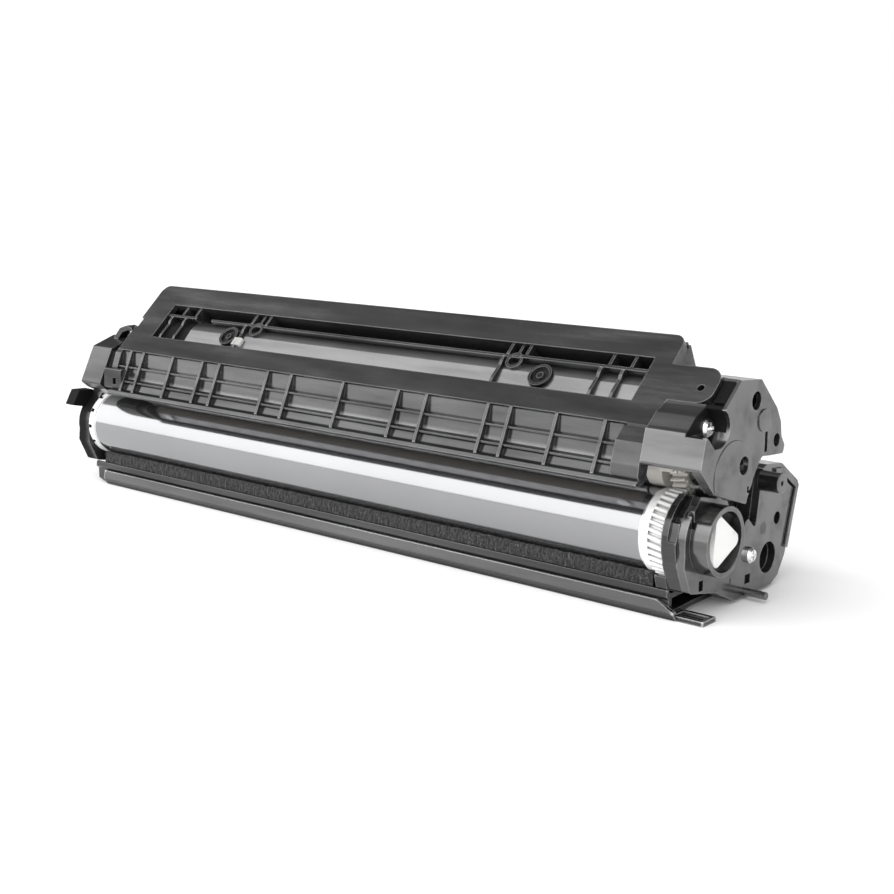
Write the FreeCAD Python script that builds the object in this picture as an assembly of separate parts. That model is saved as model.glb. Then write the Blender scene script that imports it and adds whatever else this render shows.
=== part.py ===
import FreeCAD, Part
import math
import os

# Toner cartridge for a page printer: a drum unit below, and a developer unit hinged on it above.
# The drum axis is the X axis while the pieces are made, with the drive end at the high x,
# Y to the back and Z up. The finished assembly is moved onto its floor before it is written.

# Drum and its flanges
DRUM_R = 12.0
DRUM_WALL = 0.75
DRUM_LENGTH = 252.8
RING_WIDTH = 2.4
RING_STEP = 0.3
RING_R = DRUM_R + RING_STEP
FAR_RING_WIDTH = 3.0
NOTCH_COUNT = 12
SPIGOT_LENGTH = 9.0
AXLE_R = 2.0


def from_ends(near, far):
    """Stations along x, some measured from the drum's low end and some from its high end."""
    return tuple(near) + tuple(DRUM_LENGTH - reach for reach in far)



# Gears
DRUM_TEETH = 36
GEAR_STEP = 0.24
MODULE = 2.0 * (DRUM_R + GEAR_STEP) / DRUM_TEETH
PRESSURE_ANGLE = math.radians(20.0)
HELIX_ANGLE = math.radians(10.0)
BACKLASH = 0.12
GEAR_WIDTH = 4.8
ROLLER_TEETH = 17
WHEEL_TEETH = 18
PINION_TEETH = 13
AGITATOR_TEETH = 26
GEAR_GAP = 0.9

# Fits and walls
RUN_FIT = 0.05
SEAT_FIT = 0.02
SIDE_GAP = 0.4
SEAM_GAP = 0.3
WALL = 1.6
THIN_WALL = 1.2

# Drive coupler
JOURNAL_R = 8.65
COUPLER_R = 7.9
COUPLER_CORNER_R = 2.1
COUPLER_TWIST = 24.0
COUPLER_SETBACK = 0.7

# Drum frame
FLOOR_Z = -23.0
SIDE_WALL = 4.6
PLATE_WALL = 2.5
COLLAR_R = 10.15
COLLAR_LENGTH = 5.6
END_WALL_STEP = 1.3
END_WALL_R = DRUM_R + END_WALL_STEP
FAR_WALL = 6.4
LUG_REACH = 3.6
BIN_WALL = 1.6
BIN_START = 9.5
BIN_REACH = 3.0
BIN_END = DRUM_LENGTH + BIN_REACH
BOSS_R = 3.0
BOSS_LENGTH = 6.5
BOSS_Y = 29.5
BOSS_Z = 11.6
LOCATING_PIN_R = 1.15
LOCATING_ROOT_R = 0.95
LOCATING_PIN_REACH = 7.0
LOCATING_PIN_Y = 22.0
LOCATING_PIN_Z = -20.6
PLATE_SCREW_Y = 23.1
PLATE_SCREW_Z = -9.6
PLATE_SCREW_R = 1.25
PEEPHOLE_Y = 39.7
PEEPHOLE_Z = -1.7
PEEPHOLE_R = 1.9
PEG_HOLE_Y = 34.8
PEG_HOLE_Z = -12.9
PEG_HOLE_R = 4.8
HINGE_Y = 31.4
HINGE_Z = -3.2
HINGE_R = 2.0
ARM_WALL = 3.0
ARM_R = 4.6
TAIL_END = 41.0
TAIL_DROP = 2.2
FELT_WIDTH = 10.6
FELT_HEIGHT = 2.2
FELT_DROP = 3.6
RAIL_REACH = 2.6
TONGUE_REACH = 4.1

# Developer unit
ROLLER_ANGLE = math.radians(75.0)
SLEEVE_R = 5.7
SLEEVE_WALL = 0.6
SLEEVE_START = 22.2
SLEEVE_SHORT = 6.4
SLEEVE_END = DRUM_LENGTH - SLEEVE_SHORT
SPACER_WIDTH = 5.2
SPACER_R = 5.95
SHAFT_R = 2.0
MAGNET_R = 4.7
MAGNET_STUB_R = 1.2
AGITATOR_Y = 7.0
AGITATOR_Z = 32.0
AGITATOR_REACH = 5.7
AGITATOR_SHAFT_R = 1.8
STUD_R = 1.5
HOPPER_START = 20.6
HOPPER_SHORT = 5.9
HOPPER_END = DRUM_LENGTH - HOPPER_SHORT
CAP_REACH = 4.1
CAP_START = DRUM_LENGTH + CAP_REACH
CAP_DEPTH = 19.1
CAP_FACE = CAP_START + CAP_DEPTH
FAR_CAP_START = 4.0
FAR_CAP_END = 15.5
END_PLATE_WALL = 2.6
POCKET_DEPTH = 6.0
POCKET_FLOOR = CAP_FACE - POCKET_DEPTH
SCREW_Y = -8.7
SCREW_Z = 33.1
SCREW_R = 1.25
SCREW_LENGTH = 8.0
SCREW_POST_R = 1.95

# Slanted top plate, measured in its own slope: s up the slope, n out of it
SLOPE = math.radians(42.9)
PLATE_FRONT_Y = -13.7
PLATE_FRONT_Z = 32.6
PLATE_DEPTH = 32.5
PLATE_THICK = 2.0
PLATE_LEFT = 20.0
PLATE_SHORT = 0.2
PLATE_RIGHT = DRUM_LENGTH - PLATE_SHORT
PLATE_SKIRT = 3.4
WINDOW_LEFT = 33.0
WINDOW_MARGIN = 6.6
WINDOW_RIGHT = PLATE_RIGHT - WINDOW_MARGIN
WINDOW_FRONT = 7.8
WINDOW_REAR = 23.5
TAB_REACH = 17.0
TAB_END = PLATE_RIGHT + TAB_REACH
TAB_FRONT = 9.6
TAB_REAR = 22.1
TAB_ROUND = 4.5
PLUG_R = 4.0
PLUG_TOP = -0.9
PLUG_THICK = 2.2
PLUG_DISH = 0.8
PLUG_S = 13.2
PLUG_STATIONS = from_ends([71.0], [42.4])
LADDER_STATIONS = from_ends([40.5, 47.7, 78.8, 86.1], [57.9, 50.9, 20.6, 13.0])
LEDGE_S = 19.5
BOSS_S = 17.4
BOSS_STATIONS = from_ends([82.4], [54.4])
LEDGE_STEPS = from_ends([57.0], [52.8])

# Ribbed front
RIB_WALL = 1.0
RIB_STATIONS = from_ends([35.4, 52.3, 68.8, 77.8, 102.9, 114.5], [114.0, 89.7, 77.9, 53.5, 44.9, 28.2, 11.4])
FRONT_TOP = (-13.7, 32.6)
FRONT_FOOT = (-20.2, 18.4)
FRONT_LIP = (-21.3, 17.2)

# Charge roller
CHARGE_ANGLE = math.radians(30.0)
CHARGE_R = 4.4
CHARGE_SHAFT_R = 2.2
CHARGE_START = 15.0
CHARGE_SHORT = 12.8
CHARGE_END = DRUM_LENGTH - CHARGE_SHORT

# Worked out from the sizes above
RING_END = DRUM_LENGTH + RING_WIDTH
GEAR_END = RING_END + GEAR_WIDTH
SIDE_START = GEAR_END + SIDE_GAP
SIDE_END = SIDE_START + SIDE_WALL
PLATE_FACE = SIDE_END + PLATE_WALL
COLLAR_END = PLATE_FACE + COLLAR_LENGTH
FAR_INNER = -FAR_RING_WIDTH - SIDE_GAP
FAR_OUTER = FAR_INNER - FAR_WALL


def pitch_radius(teeth):
    return MODULE * teeth / 2.0


def polar(radius, angle):
    return radius * math.cos(angle), radius * math.sin(angle)


ROLLER_Y, ROLLER_Z = polar(pitch_radius(DRUM_TEETH) + pitch_radius(ROLLER_TEETH), ROLLER_ANGLE)
CHARGE_Y, CHARGE_Z = polar(DRUM_R + CHARGE_R + RUN_FIT, CHARGE_ANGLE)


def third_centre(first, second, reach_first, reach_second):
    """Centre at the two given distances from two axes, on their front side."""
    run_y = second[0] - first[0]
    run_z = second[1] - first[1]
    span = math.hypot(run_y, run_z)
    along = (reach_first ** 2 - reach_second ** 2 + span ** 2) / (2.0 * span)
    aside = math.sqrt(reach_first ** 2 - along ** 2)
    unit_y = run_y / span
    unit_z = run_z / span
    return first[0] + along * unit_y - aside * unit_z, first[1] + along * unit_z + aside * unit_y


IDLER_Y, IDLER_Z = third_centre(
    (ROLLER_Y, ROLLER_Z),
    (AGITATOR_Y, AGITATOR_Z),
    pitch_radius(ROLLER_TEETH) + pitch_radius(WHEEL_TEETH),
    pitch_radius(PINION_TEETH) + pitch_radius(AGITATOR_TEETH),
)
ROLLER_GEAR_START = RING_END + 0.1
ROLLER_GEAR_END = GEAR_END + 0.2
PINION_START = ROLLER_GEAR_END + GEAR_GAP
PINION_END = PINION_START + GEAR_WIDTH
AGITATOR_GEAR_START = PINION_START + 0.1
AGITATOR_GEAR_END = PINION_END - 0.1


# Plain shapes

def at(x, y, z):
    return FreeCAD.Vector(x, y, z)


def block(x0, x1, y0, y1, z0, z1):
    return Part.makeBox(x1 - x0, y1 - y0, z1 - z0, at(x0, y0, z0))


def rod(y, z, radius, x0, x1):
    return Part.makeCylinder(radius, x1 - x0, at(x0, y, z), at(1, 0, 0))


def ring(y, z, outer, inner, x0, x1):
    return rod(y, z, outer, x0, x1).cut(rod(y, z, inner, x0, x1))


def outline(points, x, radius=0.0):
    """Closed wire in the plane at x through (y, z) points, with corners rounded by the radius."""
    corners = [at(x, y, z) for y, z in points]
    if radius <= 0.0:
        return Part.makePolygon(corners + corners[:1])
    edges = []
    last_end = None
    first_start = None
    count = len(corners)
    for index, corner in enumerate(corners):
        back = corners[index - 1].sub(corner)
        ahead = corners[(index + 1) % count].sub(corner)
        half = back.getAngle(ahead) / 2.0
        reach = min(radius / math.tan(half), 0.45 * back.Length, 0.45 * ahead.Length)
        start = corner.add(back.normalize().multiply(reach))
        end = corner.add(ahead.normalize().multiply(reach))
        bisector = start.add(end).multiply(0.5).sub(corner).normalize()
        fitted = reach * math.tan(half)
        middle = corner.add(bisector.multiply(fitted / math.sin(half) - fitted))
        if last_end is None:
            first_start = start
        else:
            edges.append(Part.makeLine(last_end, start))
        edges.append(Part.Arc(start, middle, end).toShape())
        last_end = end
    edges.append(Part.makeLine(last_end, first_start))
    return Part.Wire(edges)


def prism(points, x0, x1, radius=0.0):
    return Part.Face(outline(points, x0, radius)).extrude(at(x1 - x0, 0, 0))


def inset(points, gap):
    """Outline moved inwards by the gap, its corners kept sharp. The points run anticlockwise."""
    moved = []
    count = len(points)
    for index in range(count):
        (ay, az), (by, bz), (cy, cz) = points[index - 1], points[index], points[(index + 1) % count]
        first = math.hypot(by - ay, bz - az)
        second = math.hypot(cy - by, cz - bz)
        n1y, n1z = -(bz - az) / first, (by - ay) / first
        n2y, n2z = -(cz - bz) / second, (cy - by) / second
        scale = gap / (1.0 + n1y * n2y + n1z * n2z)
        moved.append((by + (n1y + n2y) * scale, bz + (n1z + n2z) * scale))
    return moved


def join(shapes):
    first = shapes[0]
    if len(shapes) == 1:
        return first
    return first.multiFuse(shapes[1:]).removeSplitter()


def cut_all(shape, tools):
    for tool in tools:
        shape = shape.cut(tool)
    return shape


def on_slope(shape):
    """Moves a shape made in (x, s, n) onto the slanted plane of the top plate."""
    shape.rotate(at(0, 0, 0), at(1, 0, 0), math.degrees(SLOPE))
    shape.translate(at(0, PLATE_FRONT_Y, PLATE_FRONT_Z))
    return shape


def slope_point(s, n):
    return (
        PLATE_FRONT_Y + s * math.cos(SLOPE) - n * math.sin(SLOPE),
        PLATE_FRONT_Z + s * math.sin(SLOPE) + n * math.cos(SLOPE),
    )


def coil(y, z, radius, wire, x0, length, turns):
    """Close-wound spring along X as one ridged sleeve, its ridges the turns of the wire."""
    pitch = length / turns
    core = radius - wire
    points = [at(x0, core, 0)]
    for turn in range(turns):
        points.append(at(x0 + pitch * turn, radius - wire * 0.5, 0))
        points.append(at(x0 + pitch * (turn + 0.5), radius, 0))
    points.append(at(x0 + length, radius - wire * 0.5, 0))
    points.append(at(x0 + length, core, 0))
    sleeve = Part.Face(Part.makePolygon(points + points[:1])).revolve(at(0, 0, 0), at(1, 0, 0), 360)
    sleeve.translate(at(0, y, z))
    return sleeve


def cross_screw(y, z, head_r, head_height, shank_r, seat_x, shank_length):
    """Screw along X with a pan head and a cross recess, its head seated at seat_x."""
    head = rod(y, z, head_r, seat_x, seat_x + head_height)
    head = head.makeChamfer(head_height * 0.4, [edge for edge in head.Edges if edge.BoundBox.XMin > seat_x + 0.01])
    slot = head_r * 0.16
    arm = head_r * 0.62
    depth = head_height * 0.55
    top = seat_x + head_height
    recess = block(top - depth, top + 1, y - arm, y + arm, z - slot, z + slot)
    recess = recess.fuse(block(top - depth, top + 1, y - slot, y + slot, z - arm, z + arm))
    return head.cut(recess).fuse(rod(y, z, shank_r, seat_x - shank_length, seat_x)).removeSplitter()


# Gears

def involute(angle):
    return math.tan(angle) - angle


def gear_ring(teeth, x, phase, closed=False):
    """Corners of the tooth outline, two straight stretches a flank, a tooth's middle at the phase."""
    pitch = pitch_radius(teeth)
    base = pitch * math.cos(PRESSURE_ANGLE)
    root = pitch - 1.2 * MODULE
    tip = pitch + 0.9 * MODULE
    half_pitch = math.pi / (2.0 * teeth) - BACKLASH / (4.0 * pitch)

    def half_angle(radius):
        pressure = math.acos(min(base / max(radius, base), 1.0))
        return half_pitch + involute(PRESSURE_ANGLE) - involute(pressure)

    corners = []
    for tooth in range(teeth):
        middle = phase + 2.0 * math.pi * tooth / teeth
        for radius, side in ((root, -1), (pitch, -1), (tip, -1), (tip, 1), (pitch, 1), (root, 1)):
            y, z = polar(radius, middle + side * half_angle(radius))
            corners.append(at(x, y, z))
    return corners + corners[:1] if closed else corners


def skin(start, end):
    """Solid between two closed rings of as many corners, its sides flat triangles."""
    faces = [Part.Face(Part.makePolygon(start + start[:1])), Part.Face(Part.makePolygon(end + end[:1]))]
    count = len(start)
    for index in range(count):
        after = (index + 1) % count
        a, b, c, d = start[index], start[after], end[after], end[index]
        faces.append(Part.Face(Part.makePolygon([a, b, c, a])))
        faces.append(Part.Face(Part.makePolygon([a, c, d, a])))
    solid = Part.makeSolid(Part.makeShell(faces))
    if solid.Volume < 0:
        solid.reverse()
    return solid


def gear(teeth, y, z, x0, x1, phase, hand=0):
    """Toothed wheel, helical when hand is 1 or -1. The phase holds at the drum gear's start."""
    if hand == 0:
        wheel = Part.Face(Part.makePolygon(gear_ring(teeth, x0, phase, True))).extrude(at(x1 - x0, 0, 0))
    else:
        rate = hand * math.tan(HELIX_ANGLE) / pitch_radius(teeth)
        wheel = skin(
            gear_ring(teeth, x0, phase + rate * (x0 - RING_END)),
            gear_ring(teeth, x1, phase + rate * (x1 - RING_END)),
        )
    wheel.translate(at(0, y, z))
    return wheel


def meshed_phase(driver, driver_phase, driver_teeth, driven, driven_teeth):
    """Phase that puts a gap of the driven wheel on the driver's tooth along their centre line."""
    direction = math.atan2(driven[1] - driver[1], driven[0] - driver[0])
    lag = (driver_phase - direction) * driver_teeth / driven_teeth
    return direction + math.pi - lag + math.pi / driven_teeth


# Outlines of the two halves, anticlockwise in (y, z)

PLATE_OUTLINE = (
    (-8.7, -14.2), (5.3, -17.0), (11.9, -20.3), (15.5, -21.9), (37.4, -21.9), (41.6, -19.8), (45.4, -14.2),
    (52.4, 7.4), (41.2, 14.9), (32.1, 15.9), (29.7, 15.1), (26.8, -2.7), (21.8, 1.9), (18.4, -3.6),
    (12.6, 4.0), (9.6, 9.2), (-4.6, 13.0), (-11.4, 4.0), (-12.4, -6.0),
)
BIN_OUTLINE = (
    (15.6, -21.9), (37.0, -21.9), (41.2, -19.6), (45.0, -13.8),
    (51.8, 6.4), (41.0, 13.8), (32.6, 14.6), (30.4, 13.6), (27.4, -3.4), (18.0, -6.2), (15.6, -9.0),
)
CAP_OUTLINE = (
    (-12.6, 16.2), (4.8, 10.4), (7.2, 15.7), (11.3, 21.2), (13.0, 22.6), (18.2, 22.1), (25.0, 21.6),
    (25.9, 23.9), (23.8, 26.8), (23.1, 31.1), (20.6, 35.3), (11.0, 44.6), (0.2, 45.5), (-8.0, 38.5),
    (-12.4, 36.6), (-16.0, 33.5), (-17.4, 32.8), (-19.8, 23.7),
)
FAR_CAP_OUTLINE = (
    (-16.9, 17.0), (-9.0, 13.0), (9.4, 13.0), (12.4, 22.8), (19.0, 22.6), (20.6, 30.6), (8.0, 36.0),
    (-4.0, 35.6), (-13.4, 32.4), (-17.4, 24.2), (-19.8, 19.4),
)
HOPPER_FRONT = ((-16.4, 21.2), (-11.2, 30.8))
HOPPER_CROWN = ((-2.0, 41.0), (2.6, 43.0), (9.5, 41.2))
REAR_WALL = ((10.6, 51.4), (12.0, 52.6), (18.0, 40.4), (18.8, 35.0), (16.6, 35.0), (16.4, 39.8))
END_WALL = ((-12.0, 32.4), (-14.4, 29.6), (-11.6, 28.0), (17.0, 34.0), (17.8, 39.6), (11.9, 51.9))
HOPPER_REAR = ((17.4, 37.2), (22.4, 30.4), (22.4, 22.6), (12.6, 21.2), (11.0, 24.8), (-1.8, 24.8), (-3.6, 20.0))


# Drum

def drum_tube():
    return ring(0, 0, DRUM_R, DRUM_R - DRUM_WALL, 0, DRUM_LENGTH)


def coupler():
    """Three-sided drive nose that twists about the drum axis as it runs out of the journal."""
    start = PLATE_FACE
    end = COLLAR_END - COUPLER_SETBACK
    steps = 2
    wires = []
    for step in range(steps + 1):
        x = start + (end - start) * step / steps
        turn = math.radians(COUPLER_TWIST * step / steps)
        corners = [polar(COUPLER_R + COUPLER_CORNER_R, turn + math.radians(90 + 120 * side)) for side in range(3)]
        wires.append(outline(corners, x, COUPLER_CORNER_R))
    return Part.makeLoft(wires, True, True)


def drive_flange():
    spigot_r = DRUM_R - DRUM_WALL - SEAT_FIT
    parts = [
        rod(0, 0, spigot_r, DRUM_LENGTH - SPIGOT_LENGTH, DRUM_LENGTH),
        rod(0, 0, RING_R, DRUM_LENGTH, RING_END),
        gear(DRUM_TEETH, 0, 0, RING_END, GEAR_END, ROLLER_ANGLE, 1),
        rod(0, 0, JOURNAL_R, GEAR_END, PLATE_FACE),
        coupler(),
    ]
    return join(parts).cut(rod(0, 0, spigot_r - WALL, DRUM_LENGTH - SPIGOT_LENGTH - 1, DRUM_LENGTH - WALL))


def contact_flange():
    """Far flange: a spigot in the tube, a notched ring outside it and a bore for the axle pin."""
    spigot_r = DRUM_R - DRUM_WALL - SEAT_FIT
    body = rod(0, 0, spigot_r, 0, SPIGOT_LENGTH).fuse(rod(0, 0, RING_R, -FAR_RING_WIDTH, 0))
    body = body.cut(rod(0, 0, spigot_r - WALL, WALL, SPIGOT_LENGTH + 1))
    body = body.cut(rod(0, 0, AXLE_R + RUN_FIT, -FAR_RING_WIDTH - 1, WALL + 1))
    notch = block(-FAR_RING_WIDTH - 1, -FAR_RING_WIDTH * 0.4, RING_R - 1.2, RING_R + 1, -0.7, 0.7)
    for index in range(NOTCH_COUNT):
        tool = notch.copy()
        tool.rotate(at(0, 0, 0), at(1, 0, 0), 360.0 * index / NOTCH_COUNT)
        body = body.cut(tool)
    return body


def drum_axle():
    """Steel pin pressed in the far end wall, with a head outside."""
    pin = rod(0, 0, AXLE_R, FAR_OUTER, WALL - SIDE_GAP)
    return pin.fuse(rod(0, 0, AXLE_R + 1.6, FAR_OUTER - 1.0, FAR_OUTER)).removeSplitter()


# Drum unit

def far_wall():
    wall = prism(PLATE_OUTLINE, FAR_OUTER, FAR_INNER, 1.2)
    wall = wall.fuse(rod(0, 0, END_WALL_R - 1.2, FAR_OUTER, FAR_INNER))
    lug = prism(((-15.4, 8.0), (-9.2, 6.6), (-5.2, 9.6), (-6.0, 13.2), (-12.2, 13.5)), FAR_OUTER - LUG_REACH,
                FAR_OUTER + 1.5)
    hollow = prism(((-12.6, 9.6), (-8.0, 10.0), (-6.4, 12.0), (-11.4, 12.2)), FAR_OUTER - LUG_REACH - 1,
                   FAR_OUTER - 1.0)
    return wall.fuse(lug.cut(hollow))


def drive_wall():
    """Side wall outside the drum gear, with the stepped lug and the ramp at its upper front."""
    wall = prism(PLATE_OUTLINE, SIDE_START, SIDE_END, 1.2)
    wall = wall.fuse(rod(0, 0, END_WALL_R, SIDE_START, SIDE_END))
    foot = prism(((-11.4, -8.0), (-9.4, -14.0), (-3.0, -16.4), (4.0, -17.6), (2.0, -14.0), (-7.4, -13.2)),
                 DRUM_LENGTH + 4.0, SIDE_START, 0.8)
    window = prism(((-16.0, 0.5), (-11.2, 1.2), (-8.6, 7.0), (-2.8, 11.4), (-3.0, 16.0), (-16.0, 16.0)),
                   SIDE_START + 2.0, SIDE_END)
    ramp = prism(((-12.9, 0.6), (-11.0, 1.2), (-9.4, 6.2), (-11.2, 6.0)), SIDE_START + 1.9, SIDE_END)
    roof = prism(((-6.0, 13.2), (4.0, 10.8), (4.0, 16.0), (-6.0, 16.0)), SIDE_START, SIDE_END)
    return wall.fuse(foot).cut(window).fuse(ramp).cut(roof)


def waste_bin():
    """Hollow box behind the drum, its mouth towards the drum between the two front edges."""
    outer = prism(BIN_OUTLINE, BIN_START, BIN_END, 1.0)
    inner = prism(inset(BIN_OUTLINE, BIN_WALL), BIN_START + BIN_WALL, BIN_END - BIN_WALL)
    mouth = block(BIN_START + 4 * BIN_WALL, BIN_END - 4 * BIN_WALL, 14.0, 18.6, -17.6, -7.4)
    return outer.cut(inner).cut(mouth)


def frame_floor():
    """Floor, rear foot and front trough that run from end wall to end wall under the drum."""
    front = (
        (37.0, -21.9), (15.6, -21.9), (4.0, -21.9), (-6.4, -22.9), (-8.4, -21.2), (-8.4, -17.4),
        (-9.4, -16.4), (-9.2, -14.4), (-8.2, -14.4), (-8.0, -15.6), (2.6, -15.6), (2.6, -17.0),
        (-6.8, -17.0), (-6.8, -20.9), (4.0, -20.4), (15.6, -20.3), (37.0, -20.3),
    )
    body = prism(front[::-1], FAR_INNER, SIDE_START)
    rear = prism(((37.0, -21.9), (41.2, -19.6), (45.0, -13.8), (43.4, -13.2), (39.8, -18.4), (37.0, -20.0)),
                 FAR_INNER, SIDE_START)
    foot = block(20.0, DRUM_LENGTH - 12.8, 33.0, 36.0, FLOOR_Z, -21.0)
    return join([body, rear, foot])


def saddle_post(x0, x1):
    """Guide on the bin that carries one saddle of the charge roller."""
    return prism(((27.0, -3.6), (28.8, 6.0), (24.0, 16.0), (21.4, 14.6), (24.6, 6.6), (22.6, -4.6)), x0, x1)


def side_holes(x0, x1):
    """Holes that run through the drive wall and the plate screwed on it."""
    return [
        rod(LOCATING_PIN_Y, LOCATING_PIN_Z, LOCATING_ROOT_R + SEAT_FIT, x0, x1),
        rod(PLATE_SCREW_Y, PLATE_SCREW_Z, PLATE_SCREW_R + RUN_FIT, x0, x1),
        rod(PEEPHOLE_Y, PEEPHOLE_Z, PEEPHOLE_R, x0, x1),
        rod(PEG_HOLE_Y, PEG_HOLE_Z, PEG_HOLE_R, x0, x1),
        rod(HINGE_Y, HINGE_Z, HINGE_R + SEAT_FIT, x0, x1),
    ]


def drum_frame():
    parts = [
        far_wall(),
        drive_wall(),
        waste_bin(),
        frame_floor(),
        saddle_post(BIN_START, BIN_START + 4.0),
        saddle_post(BIN_END - 9.0, BIN_END - 5.0),
    ]
    body = join(parts)
    tools = [
        rod(0, 0, AXLE_R + SEAT_FIT, FAR_OUTER - 1, FAR_INNER + 1),
        rod(0, 0, JOURNAL_R + RUN_FIT, SIDE_START - 1, SIDE_END + 1),
        rod(HINGE_Y, HINGE_Z, HINGE_R + SEAT_FIT, FAR_OUTER - 1, FAR_INNER + 1),
    ]
    return cut_all(body, tools + side_holes(SIDE_START - 1, SIDE_END + 1) + wiper_holes())


def drive_bearing_plate():
    """Screwed-on plate with the collar that carries the drum journal, and the guide boss."""
    plate = prism(PLATE_OUTLINE, SIDE_END, PLATE_FACE, 1.2)
    plate = plate.fuse(rod(0, 0, END_WALL_R - 1.0, SIDE_END, PLATE_FACE))
    plate = plate.cut(prism(((-6.0, 13.2), (4.0, 10.8), (4.0, 16.0), (-6.0, 16.0)), SIDE_END, PLATE_FACE))
    rim_path = ((45.6, -12.0), (51.2, 6.8), (40.8, 13.6), (36.6, 14.0), (36.6, 12.5), (40.4, 12.2),
                (49.6, 6.0), (44.4, -11.6))
    plate = plate.fuse(rod(0, 0, COLLAR_R, PLATE_FACE, COLLAR_END))
    groove = prism(((44.0, -11.0), (49.0, 6.0), (40.0, 11.6), (40.6, 12.4), (50.0, 6.4), (44.9, -11.2)),
                   PLATE_FACE - 1.3, PLATE_FACE)
    plate = plate.fuse(prism(rim_path, PLATE_FACE, PLATE_FACE + 0.8)).cut(groove)
    boss = rod(BOSS_Y, BOSS_Z, BOSS_R, PLATE_FACE, PLATE_FACE + BOSS_LENGTH)
    plate = plate.fuse(boss)
    tools = [
        rod(0, 0, JOURNAL_R + RUN_FIT, SIDE_END - 1, COLLAR_END + 1),
        block(PLATE_FACE - 1.6, PLATE_FACE + 1, 21.5, 24.7, -18.3, -15.5),
        block(PLATE_FACE - 1.6, PLATE_FACE + 1, -4.3, -1.9, -14.5, -11.5),
        block(PLATE_FACE - 1.6, PLATE_FACE + 1, 12.8, 13.5, -16.4, -14.6),
        block(PLATE_FACE - 1.2, PLATE_FACE + 1, -9.2, -8.0, 4.6, 9.2),
        rod(BOSS_Y, BOSS_Z, 0.8, PLATE_FACE + BOSS_LENGTH - 2.0, PLATE_FACE + BOSS_LENGTH + 1),
    ]
    return cut_all(plate, tools + side_holes(SIDE_END - 1, PLATE_FACE + 1))


def plate_screws():
    return cross_screw(PLATE_SCREW_Y, PLATE_SCREW_Z, 2.4, 1.7, PLATE_SCREW_R, PLATE_FACE, PLATE_WALL + SIDE_WALL)


def locating_pin():
    """Steel pin with a thinner root pressed through plate and side wall."""
    root = rod(LOCATING_PIN_Y, LOCATING_PIN_Z, LOCATING_ROOT_R, SIDE_START - 0.5, PLATE_FACE)
    free = rod(LOCATING_PIN_Y, LOCATING_PIN_Z, LOCATING_PIN_R, PLATE_FACE, PLATE_FACE + LOCATING_PIN_REACH)
    return root.fuse(free).removeSplitter()


def hinge_pins():
    near = rod(HINGE_Y, HINGE_Z, HINGE_R, CAP_START - 0.3, PLATE_FACE)
    far = rod(HINGE_Y, HINGE_Z, HINGE_R, FAR_OUTER, FAR_CAP_START + ARM_WALL + 0.5)
    return Part.makeCompound([near, far])


def wiper_bracket():
    """Folded steel strip on the bin's front ledge."""
    section = ((27.0, -2.6), (17.2, -5.5), (16.9, -4.4), (26.2, -1.6), (27.0, 2.2), (28.0, 2.0), (27.2, -2.5))
    return cut_all(prism(section, BIN_START + 5.0, BIN_END - 10.0), wiper_holes())


def wiper_blade():
    """Urethane strip that reaches from under the bracket to the drum."""
    return prism(((16.8, -4.1), (DRUM_R + 0.1, -3.2), (DRUM_R + 0.2, -4.4), (17.1, -5.15)), BIN_START + 6.0, BIN_END - 11.0)


def wiper_screw(x, extra=0.0):
    """Small screw square to the bracket, down into the bin's ledge."""
    head = Part.makeCylinder(2.4 + extra, 1.5, at(0, 0, 0), at(0, 0, 1))
    screw = head.fuse(Part.makeCylinder(1.2 + extra, 4.0, at(0, 0, -4.0), at(0, 0, 1))).removeSplitter()
    screw.rotate(at(0, 0, 0), at(1, 0, 0), 16.6)
    screw.translate(at(x, 22.0, -2.85))
    return screw


def wiper_stations():
    return BIN_START + 12.0, BIN_END - 18.0


def wiper_holes():
    return [wiper_screw(x, SEAT_FIT) for x in wiper_stations()]


def wiper_screws():
    return Part.makeCompound([wiper_screw(x) for x in wiper_stations()])


def recovery_film():
    """Thin film from the bin's lower edge that leans towards the drum."""
    edge_y, edge_z = 0.7 * DRUM_R, -0.8 * DRUM_R
    return prism(((15.6, -17.6), (edge_y, edge_z), (edge_y + 0.3, edge_z + 0.2), (15.9, -17.4)), BIN_START + 7.0, BIN_END - 8.0)


def felt_strip():
    low = -DRUM_R - FELT_DROP
    section = ((-8.0, low), (-7.9, low + 1.1), (-6.2, low + 2.4), (-2.0, low + FELT_HEIGHT + 0.7),
               (FELT_WIDTH - 8.2, low + 1.6), (FELT_WIDTH - 8.0, low))
    return prism(section[::-1], 1.0, DRUM_LENGTH - 1.0)


def guide_rail():
    """Paper guide in front of the lower wall, bevelled at the drive end, with a flat tongue."""
    section = ((-9.4, -17.5), (-8.5, -17.5), (-8.5, -21.2), (-6.6, FLOOR_Z), (-8.6, FLOOR_Z), (-10.2, -20.6))
    rail_end = SIDE_START + RAIL_REACH
    tongue_end = PLATE_FACE + TONGUE_REACH
    rail = prism(section, 2.0, rail_end)
    bevel_start = at(rail_end - 7.0, -14, -17)
    bevel = Part.Face(Part.makePolygon([
        bevel_start, at(rail_end + 4.0, -14, -17), at(rail_end + 4.0, -14, -22.4), bevel_start,
    ])).extrude(at(0, 12, 0))
    tongue = block(SIDE_START, tongue_end, -8.4, -1.4, FLOOR_Z, FLOOR_Z + 1.5)
    groove = block(rail_end - 1.0, tongue_end - 1.2, -6.9, -2.9, FLOOR_Z + 1.0, FLOOR_Z + 2.0)
    return join([rail.cut(bevel), tongue]).cut(groove)


def charge_shaft():
    return rod(CHARGE_Y, CHARGE_Z, CHARGE_SHAFT_R, BIN_START - 0.5, BIN_END - 4.5)


def charge_rubber():
    return ring(CHARGE_Y, CHARGE_Z, CHARGE_R, CHARGE_SHAFT_R + SEAT_FIT, CHARGE_START, CHARGE_END)


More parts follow.
